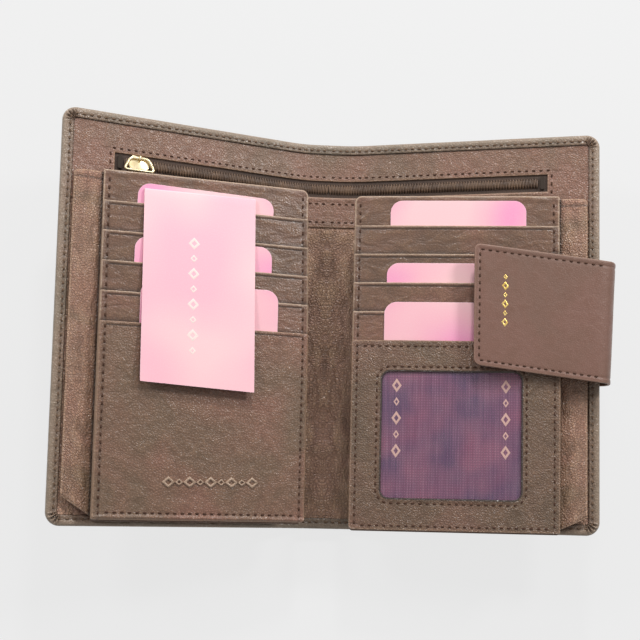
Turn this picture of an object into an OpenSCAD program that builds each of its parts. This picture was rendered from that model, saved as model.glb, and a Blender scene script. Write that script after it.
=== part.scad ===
// Open leather wallet lying in a shallow V: spine on the table, two pages raised.
// Each page is drawn flat, with x = distance out from its crease, y = height above the
// bottom edge and z = lift above the outer face, and is then folded up about its crease.
// Each card panel is drawn flat too, with x = distance in from its hinge seam.

/* [Wallet] */
// Height of the cover along the spine
wallet_h = 180; // [150:1:220]
// Width of a page from its crease to the outer edge
page_w = 113; // [94:1:140]
// Width of the spine between the creases
spine_w = 23.7; // [22.5:0.1:32]
// Radius of the cover's outer corners
corner_r = 6; // [5:0.5:12]

/* [Pose] */
// Angle of the left page above the table
left_open = 21; // [5:0.5:40]
// Angle of the right page above the table
right_open = 15.5; // [5:0.5:40]
// Angle of the left card panel above its page
left_rise = 7; // [2:0.5:10]
// Angle of the right card panel above its page
right_rise = 8; // [2:0.5:10]

/* [Cover] */
// Thickness of the cover hide
hide_t = 0.9; // [0.7:0.1:1.2]
// Thickness of the stiffener board
board_t = 0.5; // [0.3:0.1:0.8]
// Width of the hide's turned edge
band_w = 4.8; // [3.5:0.1:7]
// Thickness of the skived, turned edge
band_t = 0.7; // [0.5:0.1:1]
// Thickness of the lining leather
lining_t = 0.6; // [0.4:0.1:0.8]

/* [Zip] */
// Distance of the zip's centre from the top edge
zip_from_top = 21.5; // [18:0.5:28]
// Height of the window that the zip shows through
zip_window_h = 7.8; // [6.5:0.1:10]
// Distance of the window's ends from the outer edges
zip_end_gap = 23; // [18:0.5:40]
// Width of the zip tape
tape_w = 20; // [16:0.5:26]
// Width of the closed coil
coil_w = 4.2; // [3:0.1:5]
// Diameter of the coil's monofilament bars
coil_d = 1.1; // [0.8:0.1:1.4]
// Spacing of the coil's bars
coil_pitch = 1.6; // [1.4:0.1:2.5]
// Length of the slider along the zip
slider_l = 9.5; // [8:0.5:12]
// Width of the pull ring at its foot
ring_w = 15; // [11:0.5:18]

/* [Card panels] */
// Width of the gusset strip between the seam and the panel
strip_w = 12.9; // [9:0.1:18]
// Gap from the crease to the panel's free edge when pressed flat
free_gap = 3.6; // [3:0.1:8]
// Gap from the cover's bottom edge to the left panel
panel_foot = 3.1; // [3:0.1:8]
// How much lower the right panel is sewn
right_drop = 2.3; // [0:0.1:2.4]
// Thickness of the slot leathers
slot_t = 0.5; // [0.4:0.05:0.8]
// Depth of a card slot
slot_gap = 0.5; // [0.45:0.05:0.8]
// Distance from the panel's top to the first slot edge
first_slot = 13.8; // [10:0.1:18]
// Distance between slot edges
slot_pitch = 13.2; // [10:0.1:15]
// Width of the sewn side seams
seam_w = 2.4; // [1.5:0.1:3.5]
// Depth of a card pocket below its slot edge
pocket_d = 52; // [48:1:60]
// Margin between the ID panel's edges and its window
window_margin = 14; // [10:0.5:18]

/* [Cards] */
// Width of the round-cornered insert cards
insert_w = 62; // [50:1:64]
// Height of the insert cards
insert_h = 54; // [50:1:60]
// Thickness of the insert cards
insert_t = 0.25; // [0.2:0.05:0.35]
// Width of the folded card that hangs in front
leaf_w = 50.5; // [40:0.5:54]
// Height of the folded card that hangs in front
leaf_h = 85; // [60:1:90]
// Angle at which the folded card springs open
leaf_lean = 5; // [4.8:0.1:7]

/* [Tab] */
// Width of the closing tab
tab_w = 53.5; // [40:0.5:63]
// Length of the closing tab from its bend to its end
tab_l = 58; // [45:0.5:62]
// Total thickness of the tab's two leathers
tab_t = 2.2; // [1.6:0.1:3]
// Height of the tab's bend round the page edge
bend_h = 15; // [14.5:0.1:18]
// How far the bend stands out beyond the page edge
bend_out = 5.6; // [5:0.1:8]
// Angle by which the fold line is off the page edge
fold_skew = 2.5; // [0:0.5:5]
// Angle of the tab's length to the perpendicular of its fold
tab_lean = 4.5; // [0:0.5:7]
// Height of the tab's middle above the middle of the page
tab_offset = 3; // [-10:0.5:10]
// Diameter of the magnetic snap
snap_d = 14; // [12:0.5:18]

/* [Hidden] */
$fn = 48;
slip = 0.1;
run_gap = 0.3;
hide_gap = 0.3;
board_z = hide_t;
lining_z = board_z + board_t + 0.8;
panel_z = lining_z + lining_t;
panel_top = panel_z + lining_t;
rim_t = panel_top + band_t;
tape_t = 0.4;
pivot_z = rim_t / 2 - 0.35;
crease_gap = rim_t - pivot_z + 0.2;
zip_y = wallet_h - zip_from_top;
zip_low = zip_y - zip_window_h / 2;
zip_end = page_w - zip_end_gap;
hem_h = 14.3;
hem_y = zip_low - hem_h;
hinge_s = page_w - band_w - 0.2;
strip_t = 0.8;
hinge_z = rim_t + strip_t / 2 + 0.2;
panel_w = hinge_s - strip_w - free_gap;
panel_h = zip_low - 1.5 - panel_foot;
left_foot = panel_foot;
right_foot = panel_foot - right_drop;
rear_z = strip_t / 2;
rear_t = 0.6;
fabric_t = 0.2;
base_z = rear_z + rear_t + fabric_t;
base_t = 0.6;
slots_z = base_z + base_t;
leaf_t = 0.3;
first_gap = insert_t + leaf_t + 3 * slip;
left_slots = 5;
right_slots = 4;
slot_step = slot_gap + slot_t;
lip_t = 0.1;
id_z = slots_z + right_slots * slot_step;
id_lining_t = 0.2;
id_slot = 0.3;
film_t = 0.2;
id_frame_z = id_z + slot_gap + id_lining_t + id_slot + film_t;
id_top = id_frame_z + slot_t;
window_r = 3.5;
window_w = panel_w - 2 * (window_margin + 1.1);
id_edge = first_slot + right_slots * slot_pitch;
insert_r = 5.5;
insert_x = strip_w + (panel_w - insert_w) / 2;
leaf_x = strip_w + 17.3;
leaf_drop = 7.9;
leaf_fold_y = left_foot + panel_h - leaf_drop;
leaf_fold_z = slots_z + first_gap + slot_t + run_gap;
root_t = 1.2;
root_l = 34;
bend_r = bend_h / 2;
bend_s = page_w + run_gap + tab_w / 2 * sin(fold_skew);
bend_reach = page_w + bend_out - bend_s;
bend_z = bend_r - root_t;
bend_y = wallet_h / 2 + tab_offset;
bend_tail = 3;
tab_end_r = 3;
panel_corner = [hinge_s - strip_w * cos(right_rise) + id_top * sin(right_rise),
                hinge_z + strip_w * sin(right_rise) + id_top * cos(right_rise)];
corner_in = bend_s - panel_corner[0];
corner_up = panel_corner[1] - bend_z;
tab_gap = 1.4;
tab_rise = atan2(corner_up, corner_in)
    - asin((bend_r - tab_t - tab_gap) / norm([corner_in, corner_up]));
stud_h = 2.2;
snap_in = 13;
snap_s = page_w - 17;
snap_y = bend_y + 4;
slider_s = zip_end - 10.5;
slider_w = 7.2;
slider_t = 0.7;
coil_top = panel_z + coil_d;
slider_z = coil_top + 0.15;
ring_d = 1.3;
ring_h = 6.2;
ring_bar = 8;
ring_y = zip_y + 2.1;
ring_z = slider_z + slider_t + ring_d / 2 + 0.25;
crown_l = 3;

leather = "#7d6658";
hide_tone = "#6f6152";
dark_leather = "#5d4a40";
board_tone = "#b9a78c";
fabric_tone = "#8a5f80";
tape_tone = "#3b2d27";
coil_tone = "#4a3a33";
gold = "#d9b85c";
pink = "#f7bcd6";
film = "#dfe6ea";

// Placing

module on_spine() {
    translate([0, -wallet_h / 2, 0]) children();
}

module on_left() {
    translate([-spine_w / 2, -wallet_h / 2, pivot_z]) mirror([1, 0, 0])
        rotate([0, -left_open, 0]) translate([0, 0, -pivot_z]) children();
}

module on_right() {
    translate([spine_w / 2, -wallet_h / 2, pivot_z])
        rotate([0, -right_open, 0]) translate([0, 0, -pivot_z]) children();
}

module on_left_panel() {
    on_left() translate([hinge_s, left_foot, hinge_z]) rotate([0, left_rise, 0])
        mirror([1, 0, 0]) children();
}

module on_right_panel() {
    on_right() translate([hinge_s, right_foot, hinge_z]) rotate([0, right_rise, 0])
        mirror([1, 0, 0]) children();
}

// The tab's frame: x along the way in from the bend, y along the fold line
module on_bend() {
    on_right() translate([bend_s, bend_y, bend_z]) rotate([0, 0, -fold_skew])
        mirror([1, 0, 0]) children();
}

// Flat shapes

module corner_waste(r) {
    difference() {
        translate([-1, -1]) square(r + 1);
        translate([r, r]) circle(r);
    }
}

// A rectangle from [x0, y0] to [x1, y1] with one radius each at bottom left,
// bottom right, top right and top left; 0 leaves a corner square
module sheet(x0, y0, x1, y1, r) {
    difference() {
        translate([x0, y0]) square([x1 - x0, y1 - y0]);
        if (r[0] > 0) translate([x0, y0]) corner_waste(r[0]);
        if (r[1] > 0) translate([x1, y0]) mirror([1, 0]) corner_waste(r[1]);
        if (r[2] > 0) translate([x1, y1]) rotate(180) corner_waste(r[2]);
        if (r[3] > 0) translate([x0, y1]) mirror([0, 1]) corner_waste(r[3]);
    }
}

module slab(z, t) {
    translate([0, 0, z]) linear_extrude(t) children();
}

module page_outline(start, inset, r) {
    sheet(start, inset, page_w - inset, wallet_h - inset, [0, r, r, 0]);
}

// Cover

module page_cover() {
    color(hide_tone) union() {
        slab(0, hide_t) page_outline(hide_gap, 0, corner_r);
        slab(0, rim_t) difference() {
            page_outline(crease_gap, 0, corner_r);
            page_outline(-1, hide_t, corner_r - hide_t);
        }
        slab(panel_top, band_t) difference() {
            page_outline(crease_gap, 0, corner_r);
            page_outline(-1, band_w, 1);
        }
    }
}

module spine_cover() {
    half = spine_w / 2;
    inner = half - crease_gap;
    color(hide_tone) on_spine() union() {
        slab(0, hide_t) translate([-half + hide_gap, 0]) square([spine_w - 2 * hide_gap, wallet_h]);
        for (y = [0, wallet_h - hide_t])
            slab(0, rim_t) translate([-inner, y]) square([2 * inner, hide_t]);
        for (y = [0, wallet_h - band_w])
            slab(panel_top, band_t) translate([-inner, y]) square([2 * inner, band_w]);
    }
}

module page_board() {
    color(board_tone) slab(board_z, board_t)
        page_outline(crease_gap, hide_t + run_gap, corner_r - hide_t - run_gap);
}

lining_top = hem_y + 5;

module page_lining() {
    color(dark_leather) slab(lining_z, lining_t) difference() {
        page_outline(crease_gap, hide_t, corner_r - hide_t);
        translate([-1, lining_top]) square([page_w + 2, wallet_h]);
    }
}

module spine_lining() {
    inner = spine_w / 2 - crease_gap;
    color(dark_leather) on_spine() slab(lining_z, lining_t)
        translate([-inner, hide_t]) square([2 * inner, lining_top - hide_t]);
}

// Zip panel: one leather with a window for the zip, cut here at the creases

module page_zip_panel() {
    color(leather) slab(panel_z, lining_t) difference() {
        page_outline(crease_gap, hide_t, corner_r - hide_t);
        translate([-1, -1]) square([page_w + 2, hem_y + 1]);
        sheet(-1, zip_low, zip_end, zip_low + zip_window_h, [0, 0.6, 0.6, 0]);
    }
}

module spine_zip_panel() {
    inner = spine_w / 2 - crease_gap;
    window_top = zip_low + zip_window_h;
    color(leather) on_spine() union() {
        slab(panel_z, lining_t) translate([-inner, hem_y]) square([2 * inner, hem_h]);
        slab(panel_z, lining_t) translate([-inner, window_top])
            square([2 * inner, wallet_h - hide_t - window_top]);
    }
}

// Zip: a woven tape under the window and a coil of interlocked bars on it

module tape(x0, x1) {
    color(tape_tone) slab(panel_z - tape_t, tape_t)
        translate([x0, zip_y - tape_w / 2]) square([x1 - x0, tape_w]);
}

// The side view of the closed coil: each bump is one turn where the two halves interlock
module coil(x0, x1) {
    count = floor((x1 - x0 - coil_d) / coil_pitch);
    start = (x0 + x1 - count * coil_pitch) / 2;
    core = panel_z + coil_d * 0.5;
    foot = coil_pitch * 0.36;
    crest = coil_pitch * 0.2;
    bumps = [for (i = [0 : count]) each [
        [start + i * coil_pitch - foot, core], [start + i * coil_pitch - crest, panel_z + coil_d],
        [start + i * coil_pitch + crest, panel_z + coil_d], [start + i * coil_pitch + foot, core]]];
    color(coil_tone) translate([0, zip_y + coil_w / 2, 0]) rotate([90, 0, 0])
        linear_extrude(coil_w)
            polygon(concat([[x0, panel_z], [x0, core]], bumps, [[x1, core], [x1, panel_z]]));
}

coil_start = crease_gap;
coil_end = zip_end - 1;

module spine_zip_tape() {
    inner = spine_w / 2 - crease_gap;
    on_spine() tape(-inner, inner);
}

module spine_zip_coil() {
    inner = spine_w / 2 - crease_gap;
    on_spine() coil(-inner, inner);
}

module stop_bar() {
    wide = coil_w / 2 + 0.8;
    color(gold) translate([coil_end - 1.2, zip_y, 0])
        slab(panel_z, coil_d + 0.3) sheet(-0.9, -wide, 0.9, wide, [0.5, 0.5, 0.5, 0.5]);
}

// Folds: the leathers where they bend between the spine and a page

// A bent strip of thickness t from the spine's edge, at lift z, to the page's edge
module bent(open, z, t, y0, y1) {
    reach = crease_gap;
    function on_fold(s, lift) = [s * cos(open) - (lift - pivot_z) * sin(open),
                                 pivot_z + s * sin(open) + (lift - pivot_z) * cos(open)];
    translate([0, y1, 0]) rotate([90, 0, 0]) linear_extrude(y1 - y0)
        polygon([[-reach, z], on_fold(reach, z), on_fold(reach, z + t), [-reach, z + t]]);
}

module fold_leather(open) {
    window_top = zip_low + zip_window_h;
    color(leather) translate([spine_w / 2, -wallet_h / 2, 0]) {
        bent(open, lining_z, lining_t, hide_t, lining_top);
        bent(open, panel_z, lining_t, hem_y, zip_low);
        bent(open, panel_z, lining_t, window_top, wallet_h - hide_t);
        bent(open, panel_top, band_t, 0, band_w);
        bent(open, panel_top, band_t, wallet_h - band_w, wallet_h);
    }
}

module fold_zip(open) {
    color(coil_tone) translate([spine_w / 2, -wallet_h / 2, 0]) {
        bent(open, panel_z - tape_t, tape_t, zip_y - tape_w / 2, zip_y + tape_w / 2);
        bent(open, panel_z, coil_d * 0.55, zip_y - coil_w / 2, zip_y + coil_w / 2);
    }
}

module left_fold() { mirror([1, 0, 0]) fold_leather(left_open); }
module left_zip_fold() { mirror([1, 0, 0]) fold_zip(left_open); }
module right_fold() { fold_leather(right_open); }
module right_zip_fold() { fold_zip(right_open); }

// Page sub-parts

module left_cover() { on_left() page_cover(); }
module left_board() { on_left() page_board(); }
module left_lining() { on_left() page_lining(); }
module left_zip_panel() { on_left() page_zip_panel(); }
module left_zip_tape() { on_left() tape(coil_start, zip_end + 4); }
module left_zip_coil() { on_left() coil(coil_start, coil_end - 2.4); }
module zip_start_stop() { on_left() stop_bar(); }
module right_cover() { on_right() page_cover(); }
module right_board() { on_right() page_board(); }
module right_lining() { on_right() page_lining(); }
module right_zip_panel() { on_right() page_zip_panel(); }
module right_zip_tape() { on_right() tape(coil_start, zip_end + 4); }
module right_zip_coil() { on_right() coil(coil_start, coil_end - 2.4); }
module zip_end_stop() { on_right() stop_bar(); }

// Slider and pull ring

module zip_slider() {
    flange_t = 0.6;
    color(gold) on_left() translate([slider_s, 0, 0]) difference() {
        union() {
            slab(slider_z, slider_t) translate([0, zip_y]) {
                sheet(-slider_l / 2, -slider_w / 2, slider_l / 2, slider_w / 2, [2.2, 3.2, 3.2, 2.2]);
            }
            for (side = [-1, 1])
                slab(panel_z + 0.15, slider_z + slider_t - panel_z - 0.15)
                    translate([-slider_l / 2 + 2.2, zip_y + side * (slider_w - flange_t) / 2 - flange_t / 2])
                        square([slider_l - 5.4, flange_t]);
            slab(slider_z, ring_z - slider_z) translate([-crown_l / 2, ring_y - 1.5])
                square([crown_l, 3]);
            translate([0, ring_y, ring_z]) rotate([0, 90, 0])
                cylinder(r = 1.5, h = crown_l, center = true);
        }
        translate([0, ring_y, ring_z]) rotate([0, 90, 0])
            cylinder(d = ring_d + 2 * slip, h = crown_l + 2, center = true);
    }
}

// A flat ring that widens towards its foot, hung on a round bar
module zip_pull() {
    foot = ring_w / 2;
    head = ring_bar / 2;
    module blank(top, inset) {
        polygon([[-head + inset, top], [head - inset, top],
                 [foot - inset, -ring_h + inset], [-foot + inset, -ring_h + inset]]);
    }
    color(gold) on_left() translate([slider_s, ring_y, ring_z]) union() {
        slab(-ring_d / 2, ring_d) difference() {
            blank(0, 0);
            blank(1, ring_d);
        }
        rotate([0, 90, 0]) cylinder(d = ring_d, h = 2 * head, center = true);
    }
}

// Card panels

module gusset(foot_cut) {
    color(leather) slab(-strip_t / 2, strip_t) difference() {
        translate([run_gap, 0]) square([strip_w + 3, panel_h - 1]);
        polygon([[run_gap - 1, -1], [strip_w + 1, -1], [strip_w + 1, 1.2], [run_gap - 1, foot_cut]]);
    }
}

module left_gusset() { on_left_panel() gusset(9.5); }
module right_gusset() { on_right_panel() gusset(7); }

module panel_sheet(top, r = 3) {
    sheet(strip_w, 0, strip_w + panel_w, top, [0.6, 1.5, r, 0.6]);
}

// The rear leather hangs a little below the front, as the second layer at the foot
module rear_leather() {
    color(dark_leather) slab(rear_z, rear_t) translate([0, -0.8]) panel_sheet(panel_h);
}

module pocket_lining() {
    color(fabric_tone) slab(rear_z + rear_t, fabric_t) translate([0, 1])
        sheet(strip_w + 1, 0, strip_w + panel_w - 1, panel_h - 3, [0, 0, 2, 0]);
}

module top_leather() {
    color(leather) difference() {
        slab(rear_z + rear_t, fabric_t + base_t) panel_sheet(panel_h);
        slab(rear_z + rear_t - 1, fabric_t + 1) translate([0, 1])
            sheet(strip_w + 1, 0, strip_w + panel_w - 1, panel_h - 3, [0, 0, 2, 0]);
    }
}

module left_rear_leather() { on_left_panel() rear_leather(); }
module left_pocket_lining() { on_left_panel() pocket_lining(); }
module left_top_leather() { on_left_panel() top_leather(); }
module right_rear_leather() { on_right_panel() rear_leather(); }
module right_pocket_lining() { on_right_panel() pocket_lining(); }
module right_top_leather() { on_right_panel() top_leather(); }

function edge_y(k) = panel_h - first_slot - (k - 1) * slot_pitch;

// A slot leather: its sides and the floor of its pocket are sewn down to the layer below.
// Its top edge is turned over, which leaves a soft lip.
module slot_leather(k, z, gap) {
    top = edge_y(k);
    lip_h = 2.6;
    color(leather) union() {
        slab(z + gap, slot_t) panel_sheet(top, 0.6);
        slab(z + gap + slot_t, lip_t) translate([strip_w + seam_w + 0.6, top - lip_h])
            square([panel_w - 2 * seam_w - 1.2, lip_h]);
        slab(z, gap) for (x = [strip_w, strip_w + panel_w - seam_w])
            translate([x, 2]) square([seam_w, top - 3]);
        slab(z, gap) translate([strip_w, top - pocket_d - 1.5])
            square([panel_w, 1.5]);
    }
}

function left_z(k) = k == 1 ? slots_z : slots_z + first_gap + slot_t + (k - 2) * slot_step;
function right_z(k) = slots_z + (k - 1) * slot_step;

module left_slot(k) {
    on_left_panel() slot_leather(k, left_z(k), k == 1 ? first_gap : slot_gap);
}
module right_slot(k) { on_right_panel() slot_leather(k, right_z(k), slot_gap); }

module left_slot_1() { left_slot(1); }
module left_slot_2() { left_slot(2); }
module left_slot_3() { left_slot(3); }
module left_slot_4() { left_slot(4); }
module left_front_panel() { left_slot(5); }
module right_slot_1() { right_slot(1); }
module right_slot_2() { right_slot(2); }
module right_slot_3() { right_slot(3); }
module right_slot_4() { right_slot(4); }

// ID window: fabric lining, clear film and the leather frame that holds them

id_h = panel_h - id_edge;

module id_lining() {
    color(fabric_tone) on_right_panel() slab(id_z + slot_gap, id_lining_t)
        translate([strip_w + 1, 2]) square([panel_w - 2, id_h - 4]);
}

module id_window() {
    seat = 4;
    color(film) on_right_panel() slab(id_frame_z - film_t, film_t)
        translate([strip_w + window_margin + 1.1 - seat, window_margin - seat])
            square([window_w + 2 * seat, id_h - 2 * window_margin + 2 * seat]);
}

module id_frame() {
    side = window_margin + 1.1;
    color(leather) on_right_panel() union() {
        slab(id_frame_z, slot_t) difference() {
            panel_sheet(id_h, 0.6);
            sheet(strip_w + side, window_margin, strip_w + side + window_w, id_h - window_margin,
                [window_r, window_r, window_r, window_r]);
        }
        slab(id_z, id_frame_z - id_z) {
            for (x = [strip_w, strip_w + panel_w - 1])
                translate([x, 2]) square([1, id_h - 3]);
        }
        slab(id_z + slot_gap + id_lining_t, id_slot + film_t) {
            for (x = [strip_w + 1, strip_w + panel_w - seam_w])
                translate([x, 2]) square([seam_w - 1, id_h - 3]);
        }
    }
}

// Insert cards

module insert_card(edge, shows, z) {
    top = edge + shows;
    color(pink) slab(z, insert_t)
        sheet(insert_x, top - insert_h, insert_x + insert_w, top,
            [insert_r, insert_r, insert_r, insert_r]);
}

card_z = lip_t + (slot_gap - lip_t - insert_t) / 2;

module left_card_1() { on_left_panel() insert_card(edge_y(1), 9.7, left_z(1) + slip); }
module left_card_3() { on_left_panel() insert_card(edge_y(3), 11.5, left_z(3) + card_z); }
module left_card_5() {
    on_left_panel() translate([1.9, 0, 0]) insert_card(edge_y(5), 18.3, left_z(5) + card_z);
}
module right_card_1() { on_right_panel() insert_card(edge_y(1), 11.5, right_z(1) + card_z); }
module right_card_3() { on_right_panel() insert_card(edge_y(3), 8.9, right_z(3) + card_z); }
module right_card_id() { on_right_panel() insert_card(edge_y(5), 17.3, id_z + card_z); }

// Folded card: a tongue in the first left slot and a leaf that hangs in front

leaf_foot_y = leaf_fold_y - left_foot;

module leaf_tongue() {
    z = left_z(1) + 2 * slip + insert_t;
    tuck = leaf_foot_y - edge_y(1) + 30;
    color(pink) on_left_panel() slab(z, leaf_t)
        translate([leaf_x, leaf_foot_y - tuck]) square([leaf_w, tuck]);
}

module leaf() {
    color(pink) on_left_panel() translate([leaf_x, leaf_foot_y + 0.3, leaf_fold_z])
        rotate([-leaf_lean, 0, 0]) slab(0, leaf_t)
            translate([0, -leaf_h]) square([leaf_w, leaf_h]);
}

// Closing tab

// The points of an arc of radius r that rounds the corner b between a and c
function rounded(a, b, c, r) =
    let (u = (a - b) / norm(a - b), v = (c - b) / norm(c - b),
         half = acos(u * v) / 2, hub = b + (u + v) / norm(u + v) * r / sin(half),
         start = atan2(b[1] + u[1] * r / tan(half) - hub[1], b[0] + u[0] * r / tan(half) - hub[0]),
         stop = atan2(b[1] + v[1] * r / tan(half) - hub[1], b[0] + v[0] * r / tan(half) - hub[0]),
         sweep = stop - start > 180 ? stop - start - 360 : stop - start < -180 ? stop - start + 360
             : stop - start)
    [for (i = [0 : 6]) hub + r * [cos(start + sweep * i / 6), sin(start + sweep * i / 6)]];

// The strip leaves the fold at an angle and is cut off parallel to the page's edge
module tab_strip(skew, x0, len, r) {
    half = tab_w / 2 / cos(skew);
    function at(x, side) = [x + side * half * sin(fold_skew) / cos(fold_skew), x * tan(skew) + side * half];
    near = [[x0, x0 * tan(skew) - half], [x0, x0 * tan(skew) + half]];
    far = [at(len, -1), at(len, 1)];
    polygon(concat([near[0]], rounded(near[0], far[0], far[1], r),
        rounded(far[0], far[1], near[1], r), [near[1]]));
}

module tab_root() {
    color(leather) on_bend() slab(-bend_r, root_t)
        tab_strip(-tab_lean, 0, root_l, tab_end_r);
}

module tab_bend() {
    width = tab_w / cos(fold_skew);
    steps = 20;
    outer = [for (i = [0 : steps])
        [-bend_reach * cos(90 - i * 180 / steps), -bend_r * sin(90 - i * 180 / steps)]];
    inner = [for (i = [steps : -1 : 0])
        [-(bend_reach - root_t) * cos(90 - i * 180 / steps),
         -(bend_r - root_t) * sin(90 - i * 180 / steps)]];
    color(leather) on_bend() union() {
        translate([0, width / 2, 0]) rotate([90, 0, 0]) linear_extrude(width)
            polygon(concat(outer, inner));
        rotate([0, -tab_rise, 0]) translate([-1, -width / 2, bend_r - root_t])
            cube([bend_tail + 1, width, root_t]);
    }
}

module on_tab() {
    on_bend() rotate([0, -tab_rise, 0]) children();
}

module tab_layer(z, t) {
    on_tab() slab(z, t) tab_strip(tab_lean, bend_tail, tab_l, tab_end_r);
}

module tab_outer() { color(leather) tab_layer(bend_r - tab_t / 2, tab_t / 2); }
module tab_inner() { color(dark_leather) tab_layer(bend_r - tab_t, tab_t / 2); }

// Magnetic snap: a stud under the tab and a socket on the outside of the left page

module snap_stud() {
    flange_t = 0.7;
    color(gold) on_tab() rotate([0, 0, tab_lean])
        translate([tab_l - snap_in, 0, bend_r - tab_t]) rotate([180, 0, 0]) union() {
            cylinder(d = snap_d, h = flange_t);
            cylinder(d = 5, h = stud_h);
        }
}

module snap_socket() {
    depth = stud_h + 0.3;
    color(gold) on_left() translate([snap_s, snap_y, -depth]) difference() {
        union() {
            cylinder(d = snap_d, h = depth);
        }
        translate([0, 0, -1]) cylinder(d = 5.4, h = depth);
    }
}

spine_cover();
spine_lining();
spine_zip_panel();
spine_zip_tape();
spine_zip_coil();
left_cover();
left_board();
left_lining();
left_zip_panel();
left_zip_tape();
left_zip_coil();
left_fold();
left_zip_fold();
zip_start_stop();
snap_socket();
left_gusset();
left_rear_leather();
left_pocket_lining();
left_top_leather();
left_slot_1();
left_slot_2();
left_slot_3();
left_slot_4();
left_front_panel();
leaf_tongue();
leaf();
left_card_1();
left_card_3();
left_card_5();
zip_slider();
zip_pull();
right_cover();
right_board();
right_lining();
right_zip_panel();
right_zip_tape();
right_zip_coil();
right_fold();
right_zip_fold();
zip_end_stop();
right_gusset();
right_rear_leather();
right_pocket_lining();
right_top_leather();
right_slot_1();
right_slot_2();
right_slot_3();
right_slot_4();
id_lining();
id_window();
id_frame();
right_card_1();
right_card_3();
right_card_id();
tab_root();
tab_bend();
tab_outer();
tab_inner();
snap_stud();
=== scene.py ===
import math
from functools import partial

import bmesh
import bpy
import numpy as np
from mathutils import Matrix, Vector, noise


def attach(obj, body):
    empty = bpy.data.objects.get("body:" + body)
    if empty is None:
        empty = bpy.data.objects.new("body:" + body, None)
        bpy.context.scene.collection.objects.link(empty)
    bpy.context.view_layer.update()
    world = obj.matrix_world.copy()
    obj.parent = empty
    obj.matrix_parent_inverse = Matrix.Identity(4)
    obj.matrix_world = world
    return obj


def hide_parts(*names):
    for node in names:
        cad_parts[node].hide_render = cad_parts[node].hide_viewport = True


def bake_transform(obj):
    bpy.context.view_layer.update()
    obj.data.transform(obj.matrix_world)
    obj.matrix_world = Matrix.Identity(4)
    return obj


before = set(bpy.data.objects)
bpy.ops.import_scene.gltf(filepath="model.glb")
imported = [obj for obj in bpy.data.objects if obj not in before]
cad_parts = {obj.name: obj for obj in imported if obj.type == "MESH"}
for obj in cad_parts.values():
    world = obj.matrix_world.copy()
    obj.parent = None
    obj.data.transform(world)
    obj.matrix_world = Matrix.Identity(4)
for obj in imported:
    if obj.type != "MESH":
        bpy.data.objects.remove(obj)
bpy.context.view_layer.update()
mm = 0.001

# Where things are. Lengths in millimetres, angles in degrees, as in the CAD part.
wallet = {
    "height": 180,
    "pageWidth": 113,
    "spineWidth": 23.7,
    "pivotLift": 1.7,  # the leathers bend about a line this far above the table
    "open": {"left": 21, "right": 15.5},
    "bendReach": 9.5,  # leather that curves on each side of a crease
    "rise": {"left": 7, "right": 8},
    "foot": {"left": 3.1, "right": 0.8},
    "hinge": (108, 4.7),
    "cushion": 0.3,  # how much the card panels puff up across their width
}
spineHalf = wallet["spineWidth"] / 2
signOf = {"left": -1, "right": 1}


def ease(value, low, high):
    t = np.clip((value - low) / (high - low), 0, 1)
    return t * t * (3 - 2 * t)


def hump(away, width):  # a soft ridge, 1 at its middle
    return np.exp(-((away / width) ** 2))


def drift(u, v, size, seed):  # smooth wandering between -1 and 1, features about size mm
    a, b = np.broadcast_arrays(np.asarray(u, float), np.asarray(v, float))
    flat = [noise.noise(Vector((x / size, y / size, seed))) for x, y in zip(a.ravel(), b.ravel())]
    return np.reshape(flat, a.shape)


def creaseCurve(openAngle):
    reach, steps = wallet["bendReach"], 300
    u = np.linspace(spineHalf - reach, spineHalf + reach, steps + 1)
    angle = math.radians(openAngle) * ease(u, u[0], u[-1])
    middle = (angle[1:] + angle[:-1]) / 2
    step = 2 * reach / steps
    x = np.concatenate([[0], np.cumsum(np.cos(middle)) * step])
    z = np.concatenate([[0], np.cumsum(np.sin(middle)) * step])
    fit = 2 * reach * math.cos(math.radians(openAngle) / 2) / math.hypot(x[-1], z[-1])
    return u, u[0] + x * fit, z * fit, angle


creases = {side: creaseCurve(angle) for side, angle in wallet["open"].items()}


# A point on a page: u from the spine's middle, y up the page, lift above the outer face
def onPage(side, u, y, lift, curved=True):
    angle = math.radians(wallet["open"][side])
    u, y, lift = np.broadcast_arrays(*(np.asarray(q, float) for q in (u, y, lift)))
    x = np.where(u > spineHalf, spineHalf + (u - spineHalf) * math.cos(angle), u)
    z = np.where(u > spineHalf, (u - spineHalf) * math.sin(angle), 0)
    tilt = np.where(u > spineHalf, angle, 0.0)
    if curved:
        uu, xx, zz, aa = creases[side]
        inBend = (u > uu[0]) & (u < uu[-1])
        x = np.where(inBend, np.interp(u, uu, xx), x)
        z = np.where(inBend, np.interp(u, uu, zz), z)
        tilt = np.where(inBend, np.interp(u, uu, aa), tilt)
    rise = lift - wallet["pivotLift"]
    x = signOf[side] * (x - rise * np.sin(tilt)) * mm
    z = (wallet["pivotLift"] + z + rise * np.cos(tilt)) * mm
    return np.stack([x, (y - wallet["height"] / 2) * mm, z], -1)


def panelPuff(t, y):  # the same all the way up, so that a card slides in its slot without scraping
    return wallet["cushion"] * ease(t, 13, 34) * (1 - ease(t, 84, 104)) * ease(y, 0, 26)


# A point on a card panel: t in from the hinge seam, y up the panel, f above its middle
def onPanel(side, t, y, f):
    angle = math.radians(wallet["rise"][side])
    hingeS, hingeZ = wallet["hinge"]
    f = f + panelPuff(t, y)
    s = hingeS - t * math.cos(angle) + f * math.sin(angle)
    lift = hingeZ + t * math.sin(angle) + f * math.cos(angle)
    return onPage(side, s + spineHalf, y + wallet["foot"][side], lift, curved=False)


stitching = {"pitch": 3.15, "length": 0.95, "radius": 0.44, "proud": 0.06, "sunk": 0.3, "inset": 2.5}

# Meshes

edgeInsets = [0, 0.04, 0.11, 0.2, 0.32, 0.5, 0.8, 1.15, 1.5, 1.8, 2.1, 2.4, 2.8, 3.4, 4.2, 5.0]


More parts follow.
